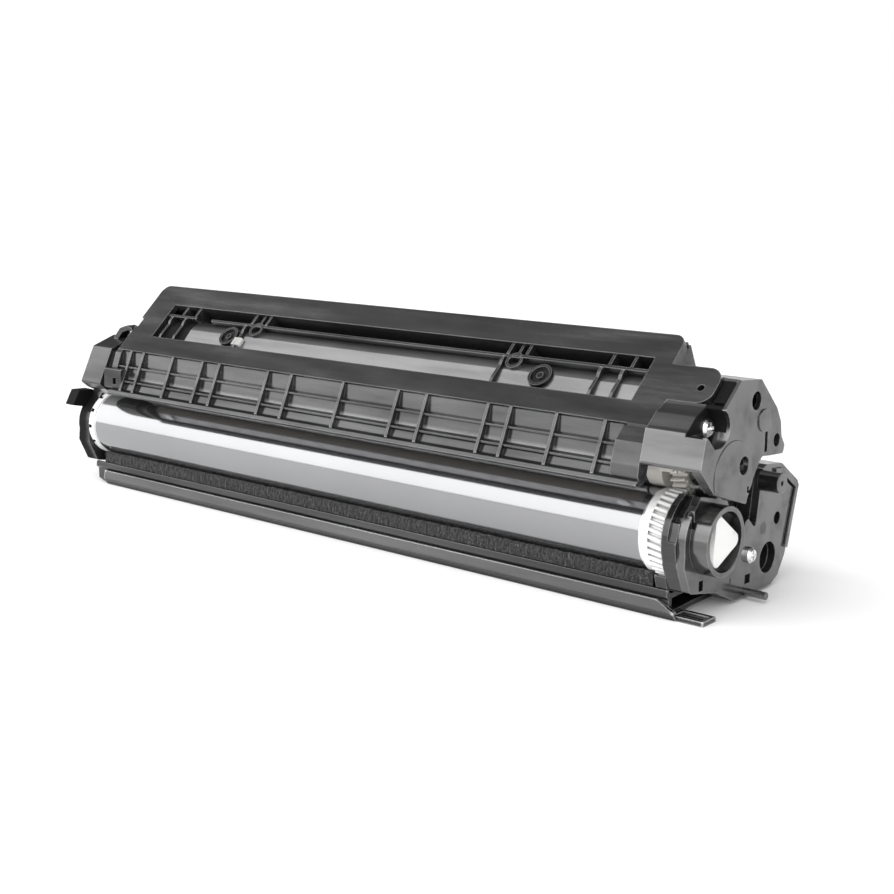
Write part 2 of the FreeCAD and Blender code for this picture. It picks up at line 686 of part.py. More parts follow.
def charge_saddle(x0, x1):
    """Half-open bearing block whose back faces the spring."""
    size = CHARGE_SHAFT_R + 1.4
    body = block(x0, x1, -size, size, -size, size)
    body = body.cut(rod(0, 0, CHARGE_SHAFT_R + RUN_FIT, x0 - 1, x1 + 1))
    body = body.cut(block(x0 - 1, x1 + 1, -size - 1, -0.9, -CHARGE_SHAFT_R * 0.8, CHARGE_SHAFT_R * 0.8))
    body.rotate(at(0, 0, 0), at(1, 0, 0), math.degrees(CHARGE_ANGLE))
    body.translate(at(0, CHARGE_Y, CHARGE_Z))
    return body


def charge_saddles():
    return Part.makeCompound([
        charge_saddle(BIN_START + 0.2, BIN_START + 3.8),
        charge_saddle(BIN_END - 8.8, BIN_END - 5.2),
    ])


def charge_springs():
    springs = []
    back = CHARGE_SHAFT_R + 1.4
    for x in (BIN_START + 2.0, BIN_END - 7.0):
        spring = coil(0, 0, 1.5, 0.5, back, 4.2, 4)
        spring.rotate(at(0, 0, 0), at(0, 0, 1), 90)
        spring.rotate(at(0, 0, 0), at(1, 0, 0), math.degrees(CHARGE_ANGLE))
        spring.translate(at(x, CHARGE_Y, CHARGE_Z))
        springs.append(spring)
    return Part.makeCompound(springs)


def bias_contacts():
    """Two bent steel tongues outside the far end wall."""
    upper = block(FAR_OUTER - 0.5, FAR_OUTER, 16.0, 24.0, -12.0, -8.0)
    lower = block(FAR_OUTER - 0.5, FAR_OUTER, 30.0, 38.0, -16.0, -12.0)
    return Part.makeCompound([upper, lower])


# Developer unit

def front_section():
    """Stepped front between plate and lip: three louvres with a thin ledge under the upper two."""
    return (
        (-13.0, 32.0), (-14.2, 27.3), (-15.9, 26.9), (-15.9, 26.3), (-14.9, 26.1), (-16.3, 22.3),
        (-18.2, 21.9), (-18.2, 21.3), (-17.2, 21.1), (-18.6, 18.6), (-20.4, 18.2), FRONT_LIP,
        (-20.4, 16.4), (-17.0, 17.2), (-15.4, 20.6), (-11.2, 31.0),
    )


def front_rib(x, wall=RIB_WALL):
    return prism((FRONT_TOP, FRONT_FOOT, (-17.6, 17.8), (-15.2, 21.4), (-12.0, 31.0)), x, x + wall)


def plate_with_window():
    """Slanted plate with its skirt, window, ladder ribs, bosses and the tab over the drive cover."""
    plate = block(PLATE_LEFT, PLATE_RIGHT, 0, PLATE_DEPTH, -PLATE_SKIRT, 0)
    round_edges = []
    for edge in plate.Edges:
        box = edge.BoundBox
        if box.YMin > PLATE_DEPTH - 0.1 and box.XLength < 0.1 and box.ZLength > 1.0:
            round_edges.append(edge)
    plate = plate.makeFillet(3.5, round_edges)
    hollow = block(PLATE_LEFT + WALL, PLATE_RIGHT - WALL, WALL, PLATE_DEPTH - WALL,
                   -PLATE_SKIRT - 1, -PLATE_THICK)
    window = block(WINDOW_LEFT, WINDOW_RIGHT, WINDOW_FRONT, WINDOW_REAR, -PLATE_SKIRT - 1, 1)
    notch = block(PLATE_LEFT - 1, PLATE_LEFT + 1.4, 11.5, 16.0, -PLATE_SKIRT - 1, 1)
    plate = cut_all(plate, [hollow, window, notch])
    tab = block(PLATE_RIGHT - 6.0, TAB_END, TAB_FRONT, TAB_REAR, -PLATE_THICK, 0)
    corners = [e for e in tab.Edges if e.BoundBox.XMin > TAB_END - 0.1 and e.BoundBox.ZLength > 1.0]
    tab = tab.makeFillet(TAB_ROUND, corners)
    tab = tab.cut(Part.makeCylinder(1.1, PLATE_THICK + 2, at(TAB_END - 4.6, 14.9, -PLATE_THICK - 1)))
    return [plate, tab]


def ladder_ribs():
    """Thin walls under the window's rear edge: one long rib and the short ones that carry it."""
    drop = 6.4
    line = LEDGE_S
    parts = [
        block(WINDOW_LEFT, 48.6, line - RIB_WALL, line, -drop, -0.6),
        block(LEDGE_STEPS[0], LEDGE_STEPS[1], line - RIB_WALL, line, -drop, -1.0),
        block(LEDGE_STEPS[1], WINDOW_RIGHT, line - RIB_WALL, line, -drop, -0.6),
        block(WINDOW_LEFT - 1.0, WINDOW_RIGHT + 1.0, WINDOW_REAR, WINDOW_REAR + WALL, -9.0, -PLATE_THICK),
    ]
    for x in LADDER_STATIONS:
        parts.append(block(x - RIB_WALL / 2, x + RIB_WALL / 2, line - 0.2, WINDOW_REAR + 0.2, -drop, -0.6))
    return parts


def window_boss(x):
    """Hollow screw boss that stands on the hopper's crown under the window."""
    post = Part.makeCylinder(3.0, 7.0, at(x, BOSS_S, -7.9))
    web = block(x - RIB_WALL / 2, x + RIB_WALL / 2, BOSS_S + 1.6, WINDOW_REAR + 0.2, -8.0, -1.2)
    return post.fuse(web).cut(Part.makeCylinder(2.0, 8.0, at(x, BOSS_S, -5.9)))


def hopper_frame():
    parts = [on_slope(piece) for piece in plate_with_window() + ladder_ribs()]
    parts.extend(on_slope(window_boss(x)) for x in BOSS_STATIONS)
    parts.append(prism(front_section()[::-1], PLATE_LEFT + 2.0, CAP_START - SEAM_GAP))
    parts.append(prism(REAR_WALL, PLATE_LEFT + 1.0, PLATE_RIGHT - 1.0))
    for x in (PLATE_LEFT, PLATE_RIGHT - WALL):
        parts.append(prism(END_WALL, x, x + WALL))
    for x in RIB_STATIONS:
        parts.append(front_rib(x - RIB_WALL / 2))
    parts.append(front_rib(PLATE_LEFT + 7.6))
    shoulder = ((-9.0, 36.0), (-14.6, 31.4), (-16.6, 26.0), (-17.8, 20.6), (-14.0, 20.6), (-11.0, 30.6),
                (-7.6, 33.4))
    parts.append(prism(shoulder, PLATE_LEFT - 0.4, PLATE_LEFT + 2.6, 1.2))
    bracket = prism(((-18.9, 26.0), (-19.3, 18.6), (-16.4, 18.6), (-15.4, 26.0)), PLATE_LEFT - 2.0,
                    PLATE_LEFT + 7.6, 0.6)
    parts.append(bracket)
    bulge = ((-13.2, 32.4), (-17.6, 28.2), (-19.6, 22.4), (-20.2, 18.4), (-16.0, 18.4), (-12.0, 31.0))
    parts.append(prism(bulge, RIB_STATIONS[-1] + 6.0, CAP_START - SEAM_GAP, 1.0))
    corner = ((-13.7, 32.6), (-13.4, 30.6), (-9.0, 34.4), slope_point(TAB_FRONT, -PLATE_THICK),
              slope_point(TAB_FRONT, 0))
    parts.append(prism(corner[::-1], PLATE_RIGHT - 4.0, CAP_START - SEAM_GAP))
    tools = [
        hopper_solid(HOPPER_START, PLATE_RIGHT + 1, 0.0),
        prism(inset(FAR_CAP_OUTLINE, WALL), FAR_CAP_END, HOPPER_START),
        rod(SCREW_Y, SCREW_Z, SCREW_POST_R + SEAT_FIT, HOPPER_END, CAP_START),
        block(PLATE_LEFT + 2.8, PLATE_LEFT + 4.9, -22, -17.4, 20.2, 22.6),
    ]
    return cut_all(join(parts), tools)


def hopper_outline(x, gap):
    """Closed wire of the hopper's section, moved in by the gap."""
    lower = [(y + gap, z + gap) for y, z in HOPPER_FRONT[:1]]
    front_top = (HOPPER_FRONT[1][0] + gap, HOPPER_FRONT[1][1] - gap * 0.3)
    crown = [(y + (gap * 0.3 if index == 0 else 0.0), z - gap) for index, (y, z) in enumerate(HOPPER_CROWN)]
    rear_top = (HOPPER_REAR[0][0] - gap * 0.6, HOPPER_REAR[0][1] - gap * 0.8)
    rest = [
        (HOPPER_REAR[1][0] - gap, HOPPER_REAR[1][1] - gap * 0.3),
        (HOPPER_REAR[2][0] - gap, HOPPER_REAR[2][1] + gap),
        (HOPPER_REAR[3][0] + gap * 0.8, HOPPER_REAR[3][1] + gap),
        (HOPPER_REAR[4][0] + gap * 0.4, HOPPER_REAR[4][1] + gap * 0.9),
        (HOPPER_REAR[5][0] - gap * 0.4, HOPPER_REAR[5][1] + gap * 0.9),
        (HOPPER_REAR[6][0] - gap * 0.6, HOPPER_REAR[6][1] + gap),
    ]
    arc = Part.Arc(*[at(x, y, z) for y, z in crown]).toShape()
    corners = [at(x, y, z) for y, z in crown[2:] + [rear_top] + rest + lower + [front_top] + crown[:1]]
    return Part.Wire([arc] + Part.makePolygon(corners).Edges)


def hopper_solid(x0, x1, gap):
    return Part.Face(hopper_outline(x0, gap)).extrude(at(x1 - x0, 0, 0))


def toner_hopper():
    """Closed shell below the window, with a slot in its floor over the developer roller."""
    outer = hopper_solid(HOPPER_START, HOPPER_END, 0.0)
    body = outer.cut(hopper_solid(HOPPER_START + WALL, HOPPER_END - WALL, THIN_WALL))
    slot = block(HOPPER_START + 3.0, HOPPER_END - 3.0, 0.4, 8.8, 22.0, 28.0)
    body = body.cut(slot)
    body = body.cut(rod(ROLLER_Y, ROLLER_Z, SPACER_R + 0.5, HOPPER_START - 1, HOPPER_END + 1))
    bore = AGITATOR_SHAFT_R + RUN_FIT
    body = body.cut(rod(AGITATOR_Y, AGITATOR_Z, bore, HOPPER_END - 2 * WALL, HOPPER_END + 1))
    body = body.cut(rod(AGITATOR_Y, AGITATOR_Z, bore, HOPPER_START - 1, HOPPER_START + WALL + 0.1))
    return cut_all(body, doctor_holes() + [plug(x, SEAT_FIT) for x in PLUG_STATIONS])


def end_plate():
    """Upright wall between hopper and drive cover that carries stud, shaft and screw post."""
    plate = hopper_solid(HOPPER_END, HOPPER_END + END_PLATE_WALL, 0.0)
    post = rod(SCREW_Y, SCREW_Z, SCREW_POST_R, HOPPER_END, POCKET_FLOOR - WALL - RUN_FIT)
    tools = [
        rod(AGITATOR_Y, AGITATOR_Z, AGITATOR_SHAFT_R + RUN_FIT, HOPPER_END - 1, HOPPER_END + 4),
        rod(IDLER_Y, IDLER_Z, STUD_R + SEAT_FIT, HOPPER_END - 1, HOPPER_END + 4),
        rod(SCREW_Y, SCREW_Z, SCREW_R, POCKET_FLOOR - SCREW_LENGTH, POCKET_FLOOR),
    ]
    return cut_all(plate.fuse(post), tools)


def cover_shell():
    """Cup with a closed face, open below at the front where the roller's end shows."""
    shell = prism(CAP_OUTLINE, CAP_START, CAP_FACE, 0.8)
    shell = shell.cut(prism(inset(CAP_OUTLINE, WALL), CAP_START - 1, CAP_FACE - WALL))
    shell = shell.cut(block(CAP_START - 1, CAP_FACE - 3.0, -24.0, 4.6, 5.0, 23.0))
    return shell.cut(rod(0, 0, END_WALL_R + 1.0, CAP_START - 1, PLATE_FACE + 1.0))


def cover_pocket(extra, x0, x1):
    """Round screw pocket in the cover's face with a notch below it, open to the front."""
    round_part = rod(-10.6, 33.7, 5.3 + extra, x0, x1)
    notch = prism(((-10.6, 42.0), (-24.0, 42.0), (-24.0, 32.2 - extra), (-16.9, 32.2 - extra),
                   (-13.0, 28.5 - extra), (-10.6, 28.4 - extra)), x0, x1)
    return round_part.fuse(notch)


def hinge_arm(x, start):
    """Flat arm from a cap down to its hinge eye, with a tail behind the eye for the spring."""
    eye_front = (HINGE_Y - ARM_R, HINGE_Z)
    eye_rear = (HINGE_Y + ARM_R * 0.9, HINGE_Z + 2.0)
    return join([
        prism((start, (25.0, 22.0), eye_rear, eye_front), x, x + ARM_WALL),
        rod(HINGE_Y, HINGE_Z, ARM_R, x, x + ARM_WALL),
        block(x, x + ARM_WALL, HINGE_Y, TAIL_END, HINGE_Z - TAIL_DROP, HINGE_Z + 1.2),
    ])


def drive_end_cover():
    """Moulded cup over the gear train, with its face holes, screw pocket and hinge arm."""
    inside = prism(inset(CAP_OUTLINE, 0.3), CAP_START, CAP_FACE + 0.5)
    boss_start = ROLLER_GEAR_END + 0.6
    bed_drop = PLATE_THICK + SEAM_GAP
    bed_floor = on_slope(block(CAP_START, CAP_FACE - 0.2, TAB_FRONT - 2 * WALL, TAB_REAR + WALL,
                               -bed_drop - WALL, -bed_drop))
    pad = rod(-2.9, 19.6, 9.9, CAP_FACE - 0.5, CAP_FACE + 0.2)
    parts = [
        cover_shell(),
        bed_floor.common(inside),
        cover_pocket(WALL, POCKET_FLOOR - WALL, CAP_FACE - 0.2).common(inside),
        rod(ROLLER_Y, ROLLER_Z, SHAFT_R + 1.9, boss_start, CAP_FACE - 0.2),
        rod(IDLER_Y, IDLER_Z, STUD_R + 1.5, PINION_END + 0.5, CAP_FACE - 0.2),
        pad.common(inside),
        rod(13.2, 32.8, 3.2, CAP_FACE - 0.5, CAP_FACE + 0.4),
        hinge_arm(CAP_START, (13.0, 23.2)),
    ]
    tools = [
        on_slope(block(CAP_START - 1, TAB_END + SEAM_GAP, TAB_FRONT - SEAM_GAP, 40.0, -bed_drop, 1)),
        on_slope(block(CAP_START - 1, CAP_FACE - 1.4, TAB_FRONT - SEAM_GAP, 40.0, -1.3, 1)),
        cover_pocket(0.0, POCKET_FLOOR, CAP_FACE + 1),
        rod(0, 0, COLLAR_R + 0.6, CAP_START - 1, CAP_FACE + 1),
        rod(8.6, 38.9, 2.6, CAP_FACE - WALL - 1, CAP_FACE + 1),
        rod(21.1, 26.1, 1.9, CAP_FACE - WALL - 1, CAP_FACE + 1),
        rod(2.7, 21.7, 2.6, CAP_FACE - WALL, CAP_FACE + 1),
        block(CAP_FACE - WALL - 1, CAP_FACE + 1, 14.1, 15.8, 23.6, 29.4),
        block(CAP_FACE - WALL - 1, CAP_FACE + 1, 4.8, 6.4, 13.4, 15.4),
        rod(ROLLER_Y, ROLLER_Z, pitch_radius(ROLLER_TEETH) + 2 * MODULE, CAP_START - 1, boss_start),
        rod(ROLLER_Y, ROLLER_Z, SHAFT_R + SEAT_FIT, boss_start - 1, boss_start + 9.0),
        rod(IDLER_Y, IDLER_Z, STUD_R + SEAT_FIT, PINION_END - 1, PINION_END + 4.2),
        rod(HINGE_Y, HINGE_Z, HINGE_R + RUN_FIT, CAP_START - 1, CAP_START + ARM_WALL + 1),
        rod(SCREW_Y, SCREW_Z, SCREW_R + SEAT_FIT, POCKET_FLOOR - WALL - 1, POCKET_FLOOR + 1),
    ]
    return cut_all(join(parts), tools)


def cover_screws():
    return cross_screw(SCREW_Y, SCREW_Z, 2.7, 1.9, SCREW_R, POCKET_FLOOR, SCREW_LENGTH)


def contact_end_cap():
    """Far end cap with its angled block, a spigot towards the hopper and the hinge arm."""
    body = prism(FAR_CAP_OUTLINE, FAR_CAP_START, FAR_CAP_END, 0.8)
    body = body.fuse(prism(inset(FAR_CAP_OUTLINE, WALL), FAR_CAP_START + WALL, HOPPER_START))
    body = body.cut(prism(inset(FAR_CAP_OUTLINE, 2 * WALL), FAR_CAP_START + WALL, HOPPER_START + 1))
    body = body.cut(rod(0, 0, END_WALL_R + 1.0, FAR_CAP_START - 1, HOPPER_START + 1))
    body = body.fuse(rod(ROLLER_Y, ROLLER_Z, SHAFT_R + 1.9, FAR_CAP_START, FAR_CAP_END))
    body = body.fuse(hinge_arm(FAR_CAP_START, (12.4, 23.4)))
    tools = [
        rod(HINGE_Y, HINGE_Z, HINGE_R + RUN_FIT, FAR_CAP_START - 1, FAR_CAP_START + ARM_WALL + 1),
        rod(ROLLER_Y, ROLLER_Z, SPACER_R + 0.6, FAR_CAP_END, HOPPER_START + 1),
        rod(ROLLER_Y, ROLLER_Z, SHAFT_R + SEAT_FIT, FAR_CAP_START + 4, FAR_CAP_END + 1),
        rod(ROLLER_Y, ROLLER_Z, MAGNET_STUB_R + SEAT_FIT, FAR_CAP_START + 1, FAR_CAP_END),
    ]
    return cut_all(body, tools)


def carry_strap():
    """Bent flat strap between the far cap's top and the plate's left edge."""
    wall = 1.6
    width = 4.0
    line = [(6.6, 31.6), (8.4, 35.6), (12.0, 39.2), (16.0, 40.4), (18.8, 39.8)]
    outer = [at(x, 0, z) for x, z in line]
    inner = [at(x + wall * 0.7, 0, z - wall) for x, z in reversed(line)]
    strap = Part.Face(Part.makePolygon(outer + inner + outer[:1])).extrude(at(0, width, 0))
    strap.translate(at(0, -6.6, 0))
    return strap.cut(prism(FAR_CAP_OUTLINE, FAR_CAP_START, FAR_CAP_END))


def doctor_bracket():
    """Folded steel bracket under the hopper front, over the developer roller's front."""
    section = ((-15.2, 19.4), (-5.2, 18.2), (-5.0, 19.2), (-14.2, 20.4))
    return cut_all(prism(section, SLEEVE_START + 0.6, SLEEVE_END - 0.6), doctor_holes())


def doctor_blade():
    """Thin metering blade whose edge stands just off the developer roller."""
    return prism(((-9.0, 17.9), (-1.6, 16.9), (-1.5, 17.6), (-8.9, 18.6)), SLEEVE_START + 1.0, SLEEVE_END - 1.0)


def doctor_screw(x, extra=0.0):
    """Small screw that points up into the hopper's front foot."""
    head = Part.makeCylinder(2.2 + extra, 1.4, at(x, -12.0, 17.5))
    return head.fuse(Part.makeCylinder(1.1 + extra, 3.0, at(x, -12.0, 18.8))).removeSplitter()


def doctor_stations():
    return SLEEVE_START + 8.0, SLEEVE_END - 8.0


def doctor_holes():
    return [doctor_screw(x, SEAT_FIT) for x in doctor_stations()]


def doctor_screws():
    return Part.makeCompound([doctor_screw(x) for x in doctor_stations()])


def roller_sleeve():
    """Aluminium sleeve with a plug and a journal at each end."""
    sleeve = ring(ROLLER_Y, ROLLER_Z, SLEEVE_R, SLEEVE_R - SLEEVE_WALL, SLEEVE_START, SLEEVE_END)
    far_start = FAR_CAP_START + 6.0
    journals = [
        rod(ROLLER_Y, ROLLER_Z, SLEEVE_R - SLEEVE_WALL, SLEEVE_START, SLEEVE_START + 2.0),
        rod(ROLLER_Y, ROLLER_Z, SLEEVE_R - SLEEVE_WALL, SLEEVE_END - 2.0, SLEEVE_END),
        rod(ROLLER_Y, ROLLER_Z, SHAFT_R - RUN_FIT, far_start, SLEEVE_START),
        rod(ROLLER_Y, ROLLER_Z, SHAFT_R - RUN_FIT, SLEEVE_END, ROLLER_GEAR_END + 7.0),
    ]
    bore = rod(ROLLER_Y, ROLLER_Z, MAGNET_STUB_R + RUN_FIT, far_start - 1, SLEEVE_START + 2.5)
    return join([sleeve] + journals).cut(bore)


def spacer_rings():
    bore = SHAFT_R
    near = ring(ROLLER_Y, ROLLER_Z, SPACER_R, bore, SLEEVE_END + 0.8, SLEEVE_END + 0.8 + SPACER_WIDTH)
    far = ring(ROLLER_Y, ROLLER_Z, SPACER_R, bore, SLEEVE_START - 0.4 - SPACER_WIDTH * 0.8, SLEEVE_START - 0.4)
    return Part.makeCompound([near, far])


def magnet_core():
    """Fixed magnet rod inside the sleeve, held by a stub that reaches the far cap."""
    stub = rod(ROLLER_Y, ROLLER_Z, MAGNET_STUB_R, FAR_CAP_START + 1.2, SLEEVE_START + 3.0)
    return stub.fuse(rod(ROLLER_Y, ROLLER_Z, MAGNET_R, SLEEVE_START + 3.0, SLEEVE_END - 3.0)).removeSplitter()


def developer_gear():
    phase = meshed_phase((0, 0), ROLLER_ANGLE, DRUM_TEETH, (ROLLER_Y, ROLLER_Z), ROLLER_TEETH)
    wheel = gear(ROLLER_TEETH, ROLLER_Y, ROLLER_Z, ROLLER_GEAR_START, ROLLER_GEAR_END, phase, -1)
    return wheel.cut(rod(ROLLER_Y, ROLLER_Z, SHAFT_R, ROLLER_GEAR_START - 1, ROLLER_GEAR_END + 1))


def idler_gear():
    roller_phase = meshed_phase((0, 0), ROLLER_ANGLE, DRUM_TEETH, (ROLLER_Y, ROLLER_Z), ROLLER_TEETH)
    phase = meshed_phase((ROLLER_Y, ROLLER_Z), roller_phase, ROLLER_TEETH, (IDLER_Y, IDLER_Z), WHEEL_TEETH)
    wheel = gear(WHEEL_TEETH, IDLER_Y, IDLER_Z, ROLLER_GEAR_START, ROLLER_GEAR_END, phase, 1)
    pinion = gear(PINION_TEETH, IDLER_Y, IDLER_Z, ROLLER_GEAR_END, PINION_END, 0.0)
    return wheel.fuse(pinion).cut(rod(IDLER_Y, IDLER_Z, STUD_R + RUN_FIT, ROLLER_GEAR_START - 1, PINION_END + 1))


def idler_stud():
    return rod(IDLER_Y, IDLER_Z, STUD_R, HOPPER_END, PINION_END + 4.0)


def agitator_gear():
    phase = meshed_phase((IDLER_Y, IDLER_Z), 0.0, PINION_TEETH, (AGITATOR_Y, AGITATOR_Z), AGITATOR_TEETH)
    wheel = gear(AGITATOR_TEETH, AGITATOR_Y, AGITATOR_Z, AGITATOR_GEAR_START, AGITATOR_GEAR_END, phase)
    hub = rod(AGITATOR_Y, AGITATOR_Z, 4.0, AGITATOR_GEAR_END, AGITATOR_GEAR_END + 2.0)
    bore = rod(AGITATOR_Y, AGITATOR_Z, AGITATOR_SHAFT_R, AGITATOR_GEAR_START - 1, AGITATOR_GEAR_END + 3)
    return wheel.fuse(hub).cut(bore)


def agitator_shaft():
    """Rod through the hopper with a paddle web along one side."""
    shaft = rod(AGITATOR_Y, AGITATOR_Z, AGITATOR_SHAFT_R, HOPPER_START + 0.4, AGITATOR_GEAR_END + 2.0)
    web = block(HOPPER_START + 6.0, HOPPER_END - 6.0, AGITATOR_Y - 0.6, AGITATOR_Y + 0.6,
                AGITATOR_Z, AGITATOR_Z + AGITATOR_REACH - 1.5)
    for x in range(40, int(HOPPER_END) - 16, 38):
        web = web.cut(block(x, x + 22, AGITATOR_Y - 1, AGITATOR_Y + 1, AGITATOR_Z + 2.4, AGITATOR_Z + 3.4))
    return shaft.fuse(web).removeSplitter()


def agitator_film():
    return block(HOPPER_START + 7.0, HOPPER_END - 7.0, AGITATOR_Y + 0.6, AGITATOR_Y + 0.8,
                 AGITATOR_Z + 2.6, AGITATOR_Z + AGITATOR_REACH)


def plug(x, extra=0.0):
    """Round dished plug, its disc in the plate's slope and its stem down in the hopper's crown."""
    disc = Part.makeCylinder(PLUG_R + extra, PLUG_THICK, at(x, PLUG_S, PLUG_TOP - PLUG_THICK))
    if extra == 0.0:
        disc = disc.cut(Part.makeCylinder(PLUG_R - 0.9, PLUG_DISH + 1, at(x, PLUG_S, PLUG_TOP - PLUG_DISH)))
    stem = Part.makeCylinder(2.0 + extra, 3.4, at(x, PLUG_S, PLUG_TOP - PLUG_THICK - 3.0))
    dome = Part.makeCylinder(1.2, 1.0, at(x, PLUG_S, PLUG_TOP - PLUG_DISH - 0.4))
    return on_slope(join([disc, stem, dome]))


def fill_plugs():
    return Part.makeCompound([plug(x) for x in PLUG_STATIONS])


PIECES = {
    "drum_tube": drum_tube,
    "drive_flange": drive_flange,
    "contact_flange": contact_flange,
    "drum_axle": drum_axle,
    "drum_frame": drum_frame,
    "drive_bearing_plate": drive_bearing_plate,
    "plate_screw": plate_screws,
    "locating_pin": locating_pin,
    "hinge_pins": hinge_pins,
    "wiper_bracket": wiper_bracket,
    "wiper_blade": wiper_blade,
    "wiper_screws": wiper_screws,
    "recovery_film": recovery_film,
    "felt_strip": felt_strip,
    "guide_rail": guide_rail,
    "charge_shaft": charge_shaft,
    "charge_rubber": charge_rubber,
    "charge_saddles": charge_saddles,
    "charge_springs": charge_springs,
    "bias_contacts": bias_contacts,
    "hopper_frame": hopper_frame,
    "toner_hopper": toner_hopper,
    "end_plate": end_plate,
    "drive_end_cover": drive_end_cover,
    "cover_screw": cover_screws,
    "contact_end_cap": contact_end_cap,
    "carry_strap": carry_strap,
    "doctor_bracket": doctor_bracket,
    "doctor_blade": doctor_blade,
    "doctor_screws": doctor_screws,
    "fill_plugs": fill_plugs,
    "roller_sleeve": roller_sleeve,
    "spacer_rings": spacer_rings,
    "magnet_core": magnet_core,
    "developer_gear": developer_gear,
    "idler_gear": idler_gear,
    "idler_stud": idler_stud,
    "agitator_shaft": agitator_shaft,
    "agitator_film": agitator_film,
    "agitator_gear": agitator_gear,
}


def main():
    os.makedirs("parts", exist_ok=True)
    shapes = {name: make() for name, make in PIECES.items()}
    box = FreeCAD.BoundBox()
    for name in ("drum_frame", "hopper_frame", "drive_end_cover", "guide_rail"):
        box.add(shapes[name].BoundBox)
    shift = at(-(box.XMin + box.XMax) / 2.0, -(box.YMin + box.YMax) / 2.0, -box.ZMin)
    print("shift", round(shift.x, 4), round(shift.y, 4), round(shift.z, 4))
    for name, shape in shapes.items():
        shape.translate(shift)
        shape.exportStep("parts/" + name + ".step")
        print(name, len(shape.Solids), round(shape.Volume, 2), shape.isValid())


main()
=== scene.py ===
"""Looks of a laser toner cartridge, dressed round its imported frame.

Metres throughout, in the frame's own axes: x along the drum towards the drive end, y to the back, z up.
Values that are said to be in millimetres are turned into metres by MM.
"""

import sys

import logging
import math
from dataclasses import dataclass
from enum import Enum
from typing import Any, Iterable, Sequence, Union

import bpy
import numpy as np
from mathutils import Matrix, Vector


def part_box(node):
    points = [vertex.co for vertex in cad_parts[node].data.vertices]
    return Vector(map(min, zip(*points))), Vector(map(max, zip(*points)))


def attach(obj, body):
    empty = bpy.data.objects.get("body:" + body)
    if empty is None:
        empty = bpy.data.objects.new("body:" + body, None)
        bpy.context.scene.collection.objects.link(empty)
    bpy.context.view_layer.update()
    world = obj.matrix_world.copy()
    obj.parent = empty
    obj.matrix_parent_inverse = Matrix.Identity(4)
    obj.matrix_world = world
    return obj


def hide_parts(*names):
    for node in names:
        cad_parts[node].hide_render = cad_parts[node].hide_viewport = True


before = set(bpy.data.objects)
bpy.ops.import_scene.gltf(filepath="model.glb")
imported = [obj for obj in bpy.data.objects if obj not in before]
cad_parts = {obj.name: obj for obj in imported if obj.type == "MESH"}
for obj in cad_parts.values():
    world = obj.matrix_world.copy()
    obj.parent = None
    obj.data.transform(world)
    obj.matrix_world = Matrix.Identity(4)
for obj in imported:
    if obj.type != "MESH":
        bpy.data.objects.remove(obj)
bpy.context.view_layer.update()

log = logging.getLogger("toner_cartridge")

Colour = tuple[float, float, float]
Triple = tuple[float, float, float]
Band = tuple[float, float]
Outline = Sequence[tuple[float, float]]
Operand = Union["Wire", float, int]
Sockets = dict[int | str, Any]

MM = 0.001

# Slope of the top plate, and where its front edge lies in y and z from the drum's axis, in millimetres.
SLOPE = math.radians(42.9)
SLOPE_FRONT = (-13.7, 32.6)

# Rays that each bevel node and each shading node for ridges and nooks sends out.
RAYS = 4
# Share of those rays that meet a surface where a ridge starts to show, and where it shows in full.
RIDGE_BAND = (0.32, 0.72)


class Slot(Enum):
    """Names of material slots for new pieces; the finish itself is given to each piece directly."""

    SHELL = "black_shell"
    FELT = "felt"
    NYLON = "beige_nylon"


class Wire:
    """An output socket of a shader graph. Sums and products written on it add Math nodes."""

    def __init__(self, graph: "Graph", socket: bpy.types.NodeSocket) -> None:
        """Keep the graph and the socket.

        Args:
            graph: the shader graph that the socket belongs to.
            socket: the output socket.
        """
        self.graph = graph
        self.socket = socket

    def _maths(self, operation: str, first: Operand, second: Operand) -> "Wire":
        """Add one Math node.

        Args:
            operation: Blender's name of the operation.
            first: the first operand.
            second: the second operand.

        Returns:
            The node's result.
        """
        return self.graph.make("ShaderNodeMath", {"operation": operation}, {0: first, 1: second})

    def __add__(self, other: Operand) -> "Wire":
        """Sum of two values."""
        return self._maths("ADD", self, other)

    def __radd__(self, other: Operand) -> "Wire":
        """Sum of two values, reflected."""
        return self._maths("ADD", other, self)

    def __sub__(self, other: Operand) -> "Wire":
        """Difference of two values."""
        return self._maths("SUBTRACT", self, other)

    def __rsub__(self, other: Operand) -> "Wire":
        """Difference of two values, reflected."""
        return self._maths("SUBTRACT", other, self)

    def __mul__(self, other: Operand) -> "Wire":
        """Product of two values."""
        return self._maths("MULTIPLY", self, other)

    def __rmul__(self, other: Operand) -> "Wire":
        """Product of two values, reflected."""
        return self._maths("MULTIPLY", other, self)

    def __truediv__(self, other: Operand) -> "Wire":
        """Quotient of two values."""
        return self._maths("DIVIDE", self, other)

    def at_least(self, other: Operand) -> "Wire":
        """The larger of two values."""
        return self._maths("MAXIMUM", self, other)

    def turn_from(self, other: Operand) -> "Wire":
        """Angle whose sine goes with this value and whose cosine goes with the other, in radians."""
        return self._maths("ARCTAN2", self, other)

    def between(self, low: float, high: float) -> "Wire":
        """Share of the way from low to high, smoothed and held within 0 and 1.

        Args:
            low: the value that gives 0.
            high: the value that gives 1.

        Returns:
            The share.
        """
        return self.graph.make(
            "ShaderNodeMapRange",
            {"interpolation_type": "SMOOTHSTEP"},
            {"Value": self, "From Min": low, "From Max": high},
        )


